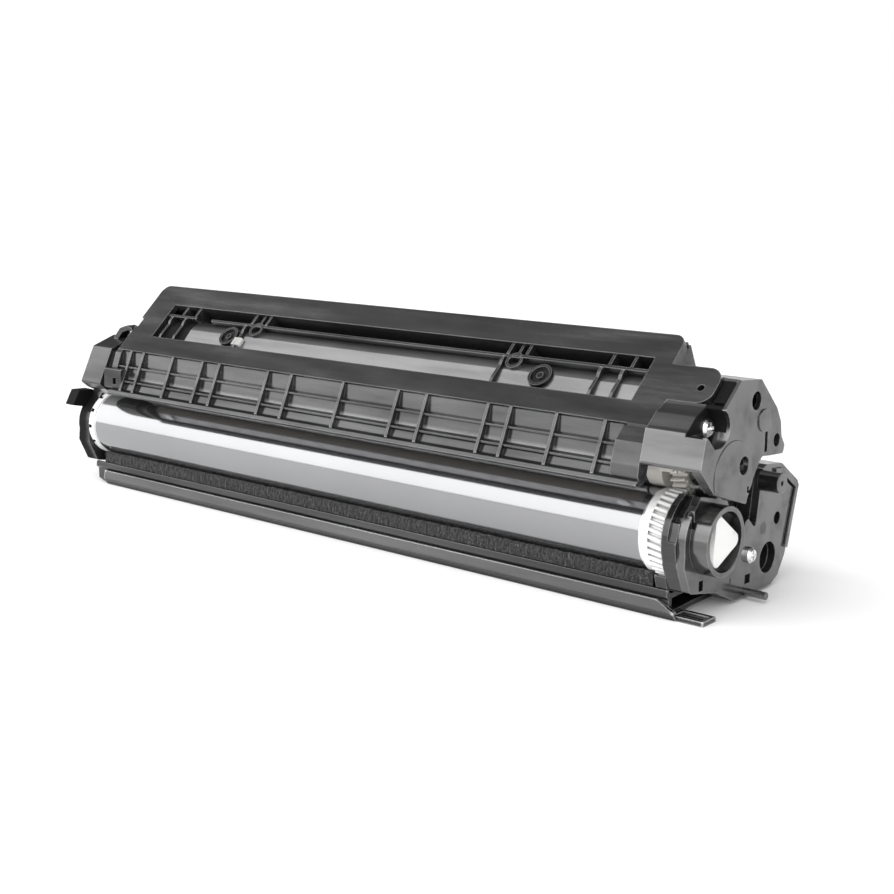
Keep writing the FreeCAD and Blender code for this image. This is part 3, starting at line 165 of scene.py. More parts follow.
class Graph:
    """A node tree that is filled through one method."""

    def __init__(self, tree: bpy.types.NodeTree) -> None:
        """Empty a tree and work on it from now on.

        Args:
            tree: the tree of a material or of the world.
        """
        self.tree = tree
        self.tree.nodes.clear()
        self._place: Wire | None = None

    def node(
        self, kind: str, settings: dict[str, Any] | None = None, sockets: Sockets | None = None
    ) -> bpy.types.Node:
        """Add a node from its type, its settings and what feeds it.

        Args:
            kind: the node's type.
            settings: its settings; "stops" holds a ramp's positions and greys or colours.
            sockets: values or wires by the input's name or number.

        Returns:
            The node.
        """
        node = self.tree.nodes.new(kind)
        for key, value in (settings or {}).items():
            if key == "stops":
                self._stops(node.color_ramp, value)
            else:
                setattr(node, key, value)
        for key, value in (sockets or {}).items():
            if isinstance(value, Wire):
                self.tree.links.new(value.socket, node.inputs[key])
            elif isinstance(value, tuple) and node.inputs[key].type == "RGBA":
                node.inputs[key].default_value = (*value, 1.0)
            else:
                node.inputs[key].default_value = value
        return node

    def make(
        self,
        kind: str,
        settings: dict[str, Any] | None = None,
        sockets: Sockets | None = None,
        output: int | str = 0,
    ) -> Wire:
        """Add a node and take one of its outputs.

        Args:
            kind: the node's type.
            settings: its settings.
            sockets: values or wires by the input's name or number.
            output: which output is wanted.

        Returns:
            The wanted output.
        """
        return Wire(self, self.node(kind, settings, sockets).outputs[output])

    @staticmethod
    def _stops(ramp: bpy.types.ColorRamp, stops: Sequence[tuple[float, float | Colour]]) -> None:
        """Give a ramp its stops.

        Args:
            ramp: the ramp.
            stops: positions with a grey or a colour each.
        """
        while len(ramp.elements) < len(stops):
            ramp.elements.new(0.5)
        for element, (position, tone) in zip(ramp.elements, stops):
            element.position = position
            element.color = (*tone, 1.0) if isinstance(tone, tuple) else (tone, tone, tone, 1.0)

    def place(self) -> Wire:
        """The point's own coordinates on its object, in metres."""
        if self._place is None:
            self._place = self.make("ShaderNodeTexCoord", None, None, "Object")
        return self._place

    def axis(self, letter: str, where: Wire | None = None) -> Wire:
        """One coordinate of a place.

        Args:
            letter: X, Y or Z.
            where: the place, the point's own if left out.

        Returns:
            The coordinate.
        """
        return self.make("ShaderNodeSeparateXYZ", None, {0: where or self.place()}, letter)

    def stretched(self, along: float, across: float, upward: float) -> Wire:
        """Object coordinates scaled by an amount for each axis.

        Args:
            along: scale on x.
            across: scale on y.
            upward: scale on z.

        Returns:
            The scaled coordinates.
        """
        scale = (along, across, upward)
        return self.make("ShaderNodeMapping", None, {"Vector": self.place(), "Scale": scale})

    def noise(
        self, scale: float, detail: float = 3.0, rough: float = 0.55, where: Wire | None = None
    ) -> Wire:
        """Cloudy noise from 0 to 1.

        Args:
            scale: clouds per metre.
            detail: octaves.
            rough: strength of the finer octaves.
            where: coordinates, the object's own if left out.

        Returns:
            The noise.
        """
        return self.make(
            "ShaderNodeTexNoise",
            None,
            {"Vector": where or self.place(), "Scale": scale, "Detail": detail, "Roughness": rough},
        )

    def blend(self, share: Operand, first: Any, second: Any) -> Wire:
        """Mix two colours.

        Args:
            share: 0 gives the first, 1 the second.
            first: a colour or a wire.
            second: a colour or a wire.

        Returns:
            The mixed colour.
        """
        return self.make("ShaderNodeMix", {"data_type": "RGBA"}, {0: share, 6: first, 7: second}, 2)

    def rounded(self, radius: float) -> Wire:
        """Surface normal as if the edges had that radius."""
        return self.make("ShaderNodeBevel", {"samples": RAYS}, {"Radius": radius}, "Normal")

    def within(self, low: Vector, high: Vector, soft: float) -> Wire:
        """Mask of a box in the object's own coordinates.

        Args:
            low: the box's low corner.
            high: its high corner.
            soft: how far outside the box the mask fades out.

        Returns:
            1 inside the box, 0 outside.
        """
        share: Operand = 1.0
        for letter, low_end, high_end in zip("XYZ", low, high):
            value = self.axis(letter)
            share = share * value.between(low_end - soft, low_end)
            share = share * value.between(high_end + soft, high_end)
        return share

    def edges(self, radius: float) -> Wire:
        """Mask of a moulding's ridges: how little room there is below the surface within a reach.

        Args:
            radius: the reach, in metres.

        Returns:
            0 on the flats, towards 1 at a ridge.
        """
        reach = self.make(
            "ShaderNodeAmbientOcclusion",
            {"samples": RAYS, "inside": True, "only_local": True},
            {"Distance": radius},
            "AO",
        )
        return (1.0 - reach).between(*RIDGE_BAND)

    def nooks(self, reach: float) -> Wire:
        """Mask of the nooks: how shut in a point is within a reach.

        Args:
            reach: the reach, in metres.

        Returns:
            0 in the open, towards 1 in a deep corner.
        """
        return 1.0 - self.make(
            "ShaderNodeAmbientOcclusion", {"samples": RAYS}, {"Distance": reach}, "AO"
        )

    def bump(self, height: Wire, strength: float, distance: float, normal: Wire | None = None) -> Wire:
        """Tilt the normal by a height.

        Args:
            height: the height wire.
            strength: share of the effect.
            distance: what a height of 1 means in metres.
            normal: the normal underneath.

        Returns:
            The new normal.
        """
        sockets: Sockets = {"Height": height, "Strength": strength, "Distance": distance}
        if normal is not None:
            sockets["Normal"] = normal
        return self.make("ShaderNodeBump", None, sockets)


class MaterialGraph(Graph):
    """The node tree of a new material."""

    def __init__(self, name: str) -> None:
        """Start an empty material.

        Args:
            name: the material's name.
        """
        self.material = bpy.data.materials.new(name)
        self.material.use_nodes = True
        super().__init__(self.material.node_tree)

    def finish(
        self, sockets: Sockets, second: Sockets | None = None, share: Operand = 0.0
    ) -> bpy.types.Material:
        """Close the tree with a Principled shader, or with two of them mixed.

        Args:
            sockets: its values and wires.
            second: those of the second shader.
            share: how much of the second shows.

        Returns:
            The material.
        """
        shader = self.make("ShaderNodeBsdfPrincipled", None, sockets)
        if second is not None:
            other = self.make("ShaderNodeBsdfPrincipled", None, second)
            shader = self.make("ShaderNodeMixShader", None, {0: share, 1: shader, 2: other})
        self.node("ShaderNodeOutputMaterial", None, {"Surface": shader})
        return self.material


@dataclass(frozen=True)
class Finish:
    """What every finish has: a name, and a method that builds its material."""

    name: str

    def shade(self) -> bpy.types.Material:
        """Build the material; each finish has its own way."""
        raise NotImplementedError


@dataclass(frozen=True)
class MouldedPlastic(Finish):
    """Injection-moulded plastic with a fine satin grain, flow marks, light dust and painted highlights on
    its edges.

    Clouds mottle the colour, long flow marks smear it lighter, dust lies in specks where the clouds are
    thick, and ridges take a painted highlight. A matt dark shader takes over as painted shade in nooks and
    in the painted-shade box, where there is one, and as a duller finish between the flow marks.
    """

    colour: Colour = (0.0105, 0.0107, 0.011)
    edge_highlight_colour: Colour = (0.3, 0.3, 0.305)
    smear_colour: Colour = (0.05, 0.05, 0.051)
    dust_colour: Colour = (0.22, 0.22, 0.22)
    dark_colour: Colour = (0.004, 0.004, 0.004)
    roughness: float = 0.15
    dark_roughness: float = 0.7
    gloss: float = 0.66
    dark_gloss: float = 0.12
    ior: float = 1.5
    edge: float = 0.00035
    dust: float = 0.35
    streak: float = 0.5
    edge_highlight: float = 0.8
    painted_shade_strength: float = 0.8
    painted_shade_box: tuple[Vector, Vector] | None = None
    fade: float = 0.0002
    cloud_scale: float = 38.0
    flow_scale: float = 42.0
    flow_stretch: Triple = (0.35, 3.0, 3.0)
    grain_scale: float = 5200.0
    grain_strength: float = 0.125
    grain_depth: float = 0.00004
    speck_scale: float = 1500.0
    speck_band: Band = (0.66, 0.78)
    cloud_band: Band = (0.35, 0.7)
    mottle_band: Band = (0.25, 0.75)
    smear_band: Band = (0.5, 0.72)
    dull_band: Band = (0.3, 0.56)
    dull_share: float = 0.6
    painted_shade_reach: float = 0.006
    painted_shade_band: Band = (0.4, 0.9)

    def shade(self) -> bpy.types.Material:
        """Build the material.

        Returns:
            The material.
        """
        g = MaterialGraph(self.name)
        cloud = g.noise(self.cloud_scale, detail=4.0)
        flow = g.noise(self.flow_scale, detail=5.0, rough=0.62, where=g.stretched(*self.flow_stretch))
        fine = g.noise(self.grain_scale, detail=2.0)
        speck = g.noise(self.speck_scale, detail=2.0, rough=0.6).between(*self.speck_band)
        speck = speck * cloud.between(*self.cloud_band)
        ridge = g.edges(self.edge * 2.0)
        lighter = tuple(1.35 * c + 0.002 for c in self.colour)
        base = g.blend(cloud.between(*self.mottle_band), self.colour, lighter)
        base = g.blend(flow.between(*self.smear_band) * self.streak, base, self.smear_colour)
        dusty = g.blend(speck * self.dust, base, self.dust_colour)
        # Ridges take the painted highlight colour, where light would glint on a rounded edge.
        highlighted = g.blend(ridge * self.edge_highlight, dusty, self.edge_highlight_colour)
        rough = self.roughness + (flow - 0.5) * (0.2 * self.streak) + (cloud - 0.5) * 0.08 - ridge * 0.04
        normal = g.bump(fine, self.grain_strength, self.grain_depth, g.rounded(self.edge))
        # Painted shade: the matt dark shader takes the nooks and the painted-shade box; between flow marks
        # it is a duller finish.
        dark = g.nooks(self.painted_shade_reach).between(*self.painted_shade_band) * self.painted_shade_strength
        dark = dark.at_least((1.0 - flow.between(*self.dull_band)) * (self.dull_share * self.streak))
        if self.painted_shade_box is not None:
            dark = dark.at_least(g.within(*self.painted_shade_box, self.fade))
        return g.finish(
            {
                "Base Color": highlighted,
                "Roughness": rough,
                "Specular IOR Level": self.gloss,
                "IOR": self.ior,
                "Normal": normal,
            },
            {
                "Base Color": self.dark_colour,
                "Roughness": self.dark_roughness,
                "Specular IOR Level": self.dark_gloss,
            },
            dark,
        )


@dataclass(frozen=True)
class CoatedTube(Finish):
    """Photoconductor on aluminium: a smooth coat with faint turning rings and a bare rim at each end."""

    low_end: float
    high_end: float
    rim: float = 0.0006
    rim_fade: float = 0.00024
    colour: Colour = (0.335, 0.337, 0.344)
    rim_colour: Colour = (0.86, 0.86, 0.87)
    metallic: float = 0.93
    roughness: float = 0.11
    ring_scale: float = 2600.0
    ring_depth: float = 0.00002
    cloud_scale: float = 22.0
    scuff_scale: float = 900.0

    def shade(self) -> bpy.types.Material:
        """Build the material.

        Returns:
            The material.
        """
        g = MaterialGraph(self.name)
        x = g.axis("X")
        rings = g.noise(self.ring_scale, detail=2.0, rough=0.5, where=g.stretched(1.0, 0.02, 0.02))
        cloud = g.noise(self.cloud_scale)
        inner = self.rim + self.rim_fade
        bare = x.between(self.low_end + inner, self.low_end + self.rim)
        bare = bare + x.between(self.high_end - inner, self.high_end - self.rim)
        coat = g.blend(cloud.between(0.2, 0.8), self.colour, tuple(0.93 * c for c in self.colour))
        colour = g.blend(bare, coat, self.rim_colour)
        scuff = g.noise(self.scuff_scale, detail=2.0, rough=0.6, where=g.stretched(0.05, 1.0, 1.0))
        return g.finish(
            {
                "Base Color": colour,
                "Metallic": self.metallic,
                "Roughness": self.roughness + rings * 0.03 + scuff.between(0.62, 0.8) * 0.05 + bare * 0.15,
                "Normal": g.bump(rings, 0.06, self.ring_depth),
            }
        )


@dataclass(frozen=True)
class BrightMetal(Finish):
    """Plated or ground steel with fine lines along one axis and small marks."""

    colour: Colour = (0.82, 0.82, 0.83)
    roughness: float = 0.2
    lines: Triple = (60.0, 1500.0, 1500.0)
    line_depth: float = 0.00003
    mark_scale: float = 240.0
    edge: float = 0.00012

    def shade(self) -> bpy.types.Material:
        """Build the material.

        Returns:
            The material.
        """
        g = MaterialGraph(self.name)
        lines = g.noise(1.0, rough=0.6, where=g.stretched(*self.lines))
        cloud = g.noise(self.mark_scale)
        base = g.blend(cloud.between(0.3, 0.8), self.colour, tuple(0.78 * c for c in self.colour))
        return g.finish(
            {
                "Base Color": base,
                "Metallic": 1.0,
                "Roughness": self.roughness + (lines - 0.5) * 0.14 + (cloud - 0.5) * 0.1,
                "Normal": g.bump(lines, 0.18, self.line_depth, g.rounded(self.edge)),
            }
        )


@dataclass(frozen=True)
class PaleMoulding(Finish):
    """Acetal, nylon or urethane: a pale moulded plastic with a soft shine, smudged in clouds, painted shade
    in nooks.
    """

    colour: Colour = (0.8, 0.8, 0.79)
    smudge_shade_colour: Colour = (0.1, 0.1, 0.1)
    smudge_and_shade: float = 0.55
    roughness: float = 0.3
    edge: float = 0.0002
    cloud_scale: float = 180.0
    cloud_band: Band = (0.6, 0.8)
    grain_scale: float = 4200.0
    grain_depth: float = 0.00003
    painted_shade_reach: float = 0.0014
    painted_shade_band: Band = (0.3, 0.75)

    def shade(self) -> bpy.types.Material:
        """Build the material.

        Returns:
            The material.
        """
        g = MaterialGraph(self.name)
        cloud = g.noise(self.cloud_scale, detail=4.0, rough=0.6)
        fine = g.noise(self.grain_scale, detail=2.0)
        # Painted shade in the nooks, with toner smudges in the clouds.
        shut = g.nooks(self.painted_shade_reach).between(*self.painted_shade_band)
        smudge_shade_mix = (shut * 0.8 + cloud.between(*self.cloud_band) * 0.3) * self.smudge_and_shade
        tone = g.blend(cloud, self.colour, tuple(0.9 * c for c in self.colour))
        return g.finish(
            {
                "Base Color": g.blend(smudge_shade_mix, tone, self.smudge_shade_colour),
                "Roughness": self.roughness + (cloud - 0.5) * 0.16,
                "Normal": g.bump(fine, 0.14, self.grain_depth, g.rounded(self.edge)),
            }
        )


@dataclass(frozen=True)
class Nap(Finish):
    """Dense felt: dark matt fibre with lighter flecks where the pile stands up, dimmed by painted shade at
    its low end.
    """

    colour: Colour = (0.02, 0.02, 0.021)
    fleck: Colour = (0.16, 0.16, 0.16)
    roughness: float = 0.95
    gloss: float = 0.15
    sheen: float = 0.25
    sheen_roughness: float = 0.5
    low_end_shade: float = 0.09
    pile_scale: float = 1500.0
    pile_depth: float = 0.0003
    pile_band: Band = (0.5, 0.7)
    tuft_scale: float = 420.0
    tuft_band: Band = (0.35, 0.75)

    def shade(self) -> bpy.types.Material:
        """Build the material.

        Returns:
            The material.
        """
        g = MaterialGraph(self.name)
        pile = g.noise(self.pile_scale, detail=5.0, rough=0.75)
        tuft = g.noise(self.tuft_scale, rough=0.6)
        bright = pile.between(*self.pile_band) * (0.35 + tuft.between(*self.tuft_band) * 0.65)
        # Painted shade: the flecks dim towards the felt's low end.
        bright = bright * (0.3 + 0.7 * g.axis("X").between(-self.low_end_shade, self.low_end_shade))
        return g.finish(
            {
                "Base Color": g.blend(bright, self.colour, self.fleck),
                "Roughness": self.roughness,
                "Specular IOR Level": self.gloss,
                "Normal": g.bump(pile, 0.9, self.pile_depth),
                "Sheen Weight": self.sheen,
                "Sheen Roughness": self.sheen_roughness,
            }
        )


@dataclass(frozen=True)
class MatBlack(Finish):
    """Soft black rubber or a bound magnet: matt, a little mottled."""

    colour: Colour = (0.03, 0.03, 0.03)
    roughness: float = 0.6
    mottle_scale: float = 300.0
    grain_scale: float = 2400.0
    grain_depth: float = 0.00005

    def shade(self) -> bpy.types.Material:
        """Build the material.

        Returns:
            The material.
        """
        g = MaterialGraph(self.name)
        mottle = g.noise(self.mottle_scale, detail=5.0, rough=0.6)
        return g.finish(
            {
                "Base Color": g.blend(mottle, self.colour, tuple(1.6 * c for c in self.colour)),
                "Roughness": self.roughness + (mottle - 0.5) * 0.15,
                "Normal": g.bump(g.noise(self.grain_scale), 0.2, self.grain_depth),
            }
        )


@dataclass(frozen=True)
class ClearFilm(Finish):
    """Thin polyester film: pale, glossy and partly see-through."""

    colour: Colour = (0.62, 0.63, 0.64)
    roughness: float = 0.12
    cover: float = 0.7
    cloud_scale: float = 120.0
    wave_depth: float = 0.0002

    def shade(self) -> bpy.types.Material:
        """Build the material.

        Returns:
            The material.
        """
        g = MaterialGraph(self.name)
        cloud = g.noise(self.cloud_scale)
        return g.finish(
            {
                "Base Color": g.blend(cloud, self.colour, tuple(0.8 * c for c in self.colour)),
                "Roughness": self.roughness + cloud * 0.12,
                "Alpha": self.cover + (cloud - 0.5) * 0.1,
                "Normal": g.bump(cloud, 0.1, self.wave_depth),
            }
        )


@dataclass(frozen=True)
class PaleFloor(Finish):
    """White tabletop that glows a little, darkened only by the part's own shadow and a painted shadow near
    the part.
    """

    colour: Colour = (0.78, 0.78, 0.78)
    cloud_colour: Colour = (0.76, 0.76, 0.76)
    glow: float = 0.25
    open_glow: Colour = (1.0, 1.0, 1.0)
    painted_shadow_glow: Colour = (0.1, 0.1, 0.1)
    roughness: float = 0.85
    gloss: float = 0.2
    cloud_scale: float = 3.0
    painted_shade_reach: float = 0.08
    painted_shade_band: Band = (0.1, 0.8)

    def shade(self) -> bpy.types.Material:
        """Build the material.

        Returns:
            The material.
        """
        g = MaterialGraph(self.name)
        # Painted shadow: the glow dims in the nooks near the part.
        shut = g.nooks(self.painted_shade_reach).between(*self.painted_shade_band)
        return g.finish(
            {
                "Base Color": g.blend(g.noise(self.cloud_scale), self.colour, self.cloud_colour),
                "Roughness": self.roughness,
                "Specular IOR Level": self.gloss,
                "Emission Color": g.blend(shut, self.open_glow, self.painted_shadow_glow),
                "Emission Strength": self.glow,
            }
        )


# Finishes shared by pieces of both halves.
SCREW_ZINC = BrightMetal("screw_zinc", colour=(0.88, 0.88, 0.89), roughness=0.22)
PRESSED_STEEL = BrightMetal("pressed_steel", colour=(0.6, 0.6, 0.61), roughness=0.34)
PIN_STEEL = BrightMetal("pin_steel", lines=(200.0, 3000.0, 3000.0))
URETHANE = PaleMoulding("urethane", (0.2, 0.185, 0.16), smudge_and_shade=0.6, roughness=0.4)


def drum_start() -> Vector:
    """Point where the drum's axis leaves the low end of its tube."""
    low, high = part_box("drum_tube")
    return Vector((low.x, (low.y + high.y) / 2.0, (low.z + high.z) / 2.0))


def on_slope(x: float, along: float | np.ndarray, out: float | np.ndarray) -> np.ndarray:
    """Place of points given in the slope of the top plate, in millimetres.

    A point starts at the plate's front edge, goes up the slope by the first distance and squarely out of
    the plate's upper face by the second.

    Args:
        x: distance from the drum tube's low end.
        along: distance up the slope from the plate's front edge.
        out: distance out of the plate's upper face.

    Returns:
        The points in the frame's axes, in metres.
    """
    across = SLOPE_FRONT[0] + along * math.cos(SLOPE) - out * math.sin(SLOPE)
    upward = SLOPE_FRONT[1] + along * math.sin(SLOPE) + out * math.cos(SLOPE)
    return np.array(drum_start()) + MM * np.stack(np.broadcast_arrays(x, across, upward), axis=-1)


def mesh_object(name: str, points: np.ndarray, faces: list[list[int]]) -> bpy.types.Object:
    """Make an object of a mesh.

    Args:
        name: the object's name.
        points: rows of three coordinates.
        faces: the points of each face.

    Returns:
        The object, linked to the scene.
    """
    mesh = bpy.data.meshes.new(name)
    mesh.from_pydata(points.tolist(), [], faces)
    mesh.update()
    made = bpy.data.objects.new(name, mesh)
    bpy.context.scene.collection.objects.link(made)
    return made


def surface(name: str, points: np.ndarray) -> bpy.types.Object:
    """Make a smooth surface of a grid of points: one quad for each cell between two rows and two columns.

    Args:
        name: the object's name.
        points: an array of rows, columns and three coordinates.

    Returns:
        The object, linked to the scene.
    """
    rows, columns = points.shape[:2]
    index = np.arange(rows * columns).reshape(rows, columns)
    corners = np.stack([index[:-1, :-1], index[1:, :-1], index[1:, 1:], index[:-1, 1:]], axis=-1)
    made = mesh_object(name, points.reshape(-1, 3), corners.reshape(-1, 4).tolist())
    polygons = made.data.polygons
    polygons.foreach_set("use_smooth", np.ones(len(polygons), bool))
    made.data.update()
    return made


def walls(name: str, outlines: Iterable[tuple[Outline, float, float]]) -> bpy.types.Object:
    """Make upright walls, each an outline in the plate's slope that is drawn out along x.

    A wall has its outline's points twice, at its start and at its stop. The two outlines are its ends, and
    each side joins two neighbouring points of one outline to the same two of the other.

    Args:
        name: the object's name.
        outlines: for each wall its points up and out of the slope, and where it starts and stops along x.

    Returns:
        The walls as one object.
    """
    points: list[np.ndarray] = []
    faces: list[list[int]] = []
    first = 0
    for outline, start, stop in outlines:
        along, out = np.transpose(outline)
        points.extend([on_slope(start, along, out), on_slope(stop, along, out)])
        near = first + np.arange(len(outline))
        far = near + len(outline)
        sides = np.stack([near, far, np.roll(far, -1), np.roll(near, -1)], axis=-1)
        faces.extend([near.tolist(), far[::-1].tolist(), *sides.tolist()])
        first += 2 * len(outline)
    return mesh_object(name, np.concatenate(points), faces)


@dataclass(frozen=True)
class Studio:
    """Camera, floor and the soft white room round the part.

    The light table says how bright the room is at each angle round an axis along x: 0 degrees is level in
    front, 90 straight up and 180 level behind. The peak is the brightness that the ramp's white stands for.
    """

    eye_from_drum: Triple = (0.4678, -0.3448, 0.1074)
    azimuth: float = 40.6955
    elevation: float = 11.7091
    focal_pixels: float = 1453.893
    picture: int = 894
    sensor: float = 36.0
    clip: Band = (0.01, 50.0)
    floor_rings: tuple[float, ...] = (0.0, 0.25, 0.5, 1.0, 2.5, 6.0, 14.0)
    floor_spokes: int = 65
    peak: float = 3.0
    light: tuple[tuple[float, float], ...] = (
        (-180.0, 1.0), (-2.0, 1.0), (0.5, 0.72), (2.2, 0.8), (3.4, 2.8), (40.0, 2.98), (74.5, 2.9),
        (76.5, 0.5), (92.0, 0.46), (105.0, 0.3), (117.0, 0.2), (130.0, 0.12), (150.0, 0.15), (168.0, 0.35),
        (176.0, 1.0), (180.0, 1.0),
    )

    def camera(self) -> bpy.types.Object:
        """Set the camera up where the photograph was taken from.

        Returns:
            The camera.
        """
        data = bpy.data.cameras.new("camera")
        data.sensor_width = self.sensor
        data.lens = self.focal_pixels * self.sensor / self.picture
        data.clip_start, data.clip_end = self.clip
        camera = bpy.data.objects.new("camera", data)
        turn, rise = math.radians(self.azimuth), math.radians(self.elevation)
        back = Vector((math.sin(turn) * math.cos(rise), -math.cos(turn) * math.cos(rise), math.sin(rise)))
        camera.location = drum_start() + Vector(self.eye_from_drum)
        camera.rotation_mode = "QUATERNION"
        camera.rotation_quaternion = (-back).to_track_quat("-Z", "Y")
        bpy.context.scene.collection.objects.link(camera)
        bpy.context.scene.camera = camera
        return camera

    def floor(self) -> bpy.types.Object:
        """Lay a round pale floor under the part: rings of points at even turns round the origin.

        Returns:
            The floor.
        """
        turns = np.linspace(0.0, 2.0 * math.pi, self.floor_spokes)
        ring, turn = np.meshgrid(self.floor_rings, turns, indexing="ij")
        points = np.stack([ring * np.cos(turn), ring * np.sin(turn), np.zeros_like(ring)], axis=-1)
        floor = surface("floor", points)
        floor.data.materials.append(PaleFloor("pale_floor").shade())
        return floor

    def room(self) -> None:
        """Light the room: a long soft box in front, along the part, and dim walls above and behind."""
        world = bpy.data.worlds.new("room")
        world.use_nodes = True
        g = Graph(world.node_tree)
        ray = g.make("ShaderNodeTexCoord", None, None, "Generated")
        turn = g.axis("Z", ray).turn_from(g.axis("Y", ray) * -1.0)
        stops = [((degrees + 180.0) / 360.0, level / self.peak) for degrees, level in self.light]
        level = g.make("ShaderNodeValToRGB", {"stops": stops}, {0: turn / (2.0 * math.pi) + 0.5})
        seen = g.make("ShaderNodeLightPath", None, None, "Is Camera Ray")
        tone = g.blend(seen, level, tuple(1.0 / self.peak for _ in range(3)))
        light = g.make("ShaderNodeBackground", None, {"Color": tone, "Strength": self.peak})
        g.node("ShaderNodeOutputWorld", None, {"Surface": light})
        bpy.context.scene.world = world
        bpy.context.scene.view_settings.view_transform = "Standard"


@dataclass
class SubAssembly:
    """A group of pieces that is dressed together."""

    title: str = "part"

    def paint(self, finish: Finish, *nodes: str) -> None:
        """Give CAD nodes a finish.

        Args:
            finish: the finish.
            nodes: the nodes' names.
        """
        material = finish.shade()
        for name in nodes:
            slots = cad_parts[name].data.materials
            slots.clear()
            slots.append(material)
            log.info("%s: %s wears %s", self.title, name, finish.name)

    def add(self, piece: bpy.types.Object, finish: Finish, slot: Slot, body: str, *stands_for: str) -> None:
        """Dress a new piece and let it ride.

        Args:
            piece: the piece.
            finish: its finish.
            slot: not used.
            body: the CAD body that carries it.
            stands_for: CAD nodes that it replaces.
        """
        piece.data.materials.clear()
        piece.data.materials.append(finish.shade())
        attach(piece, body)
        if stands_for:
            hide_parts(*stands_for)
        log.info("%s: %s, %d faces, on %s", self.title, piece.name, len(piece.data.polygons), body)


@dataclass
class DrumUnit(SubAssembly):
    """Lower half: frame, bearing plate, pins, blade, felt and guide rail.

    The front of the wall behind the drum's far end gets painted shade: past the tube's end and in front of
    its axis by the two distances here, with a soft fade, all in metres.
    """

    title: str = "drum unit"
    painted_shade_past_tube: float = 0.0065
    painted_shade_before_axis: float = 0.004
    painted_shade_fade: float = 0.004

    def dress(self) -> None:
        """Give every CAD node of the lower half its finish."""
        start = drum_start()
        low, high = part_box("drum_frame")
        # Painted shade on the front of the far wall.
        front = Vector((start.x - self.painted_shade_past_tube, start.y - self.painted_shade_before_axis, high.z))
        self.paint(MouldedPlastic("frame_plastic", painted_shade_box=(low, front), fade=self.painted_shade_fade), "drum_frame")
        # The rail's edges take a brighter painted glint.
        rail = MouldedPlastic("rail_plastic", edge_highlight_colour=(0.7, 0.7, 0.71), edge=0.0005, edge_highlight=1.0)
        self.paint(rail, "guide_rail")
        self.paint(MouldedPlastic("frame_inner"), "charge_saddles", "hinge_pins")
        bearing = MouldedPlastic("bearing_plastic", roughness=0.16, dust=0.2, gloss=1.0, ior=1.68)
        self.paint(bearing, "drive_bearing_plate")
        self.paint(PIN_STEEL, "drum_axle", "charge_springs", "charge_shaft", "bias_contacts")
        self.paint(BrightMetal("pin_dark", colour=(0.2, 0.2, 0.205), roughness=0.28), "locating_pin")
        self.paint(SCREW_ZINC, "plate_screw", "wiper_screws")
        self.paint(PRESSED_STEEL, "wiper_bracket")
        self.paint(URETHANE, "wiper_blade")
        self.paint(ClearFilm("clear_film"), "recovery_film")
        self.paint(MatBlack("roller_rubber"), "charge_rubber")


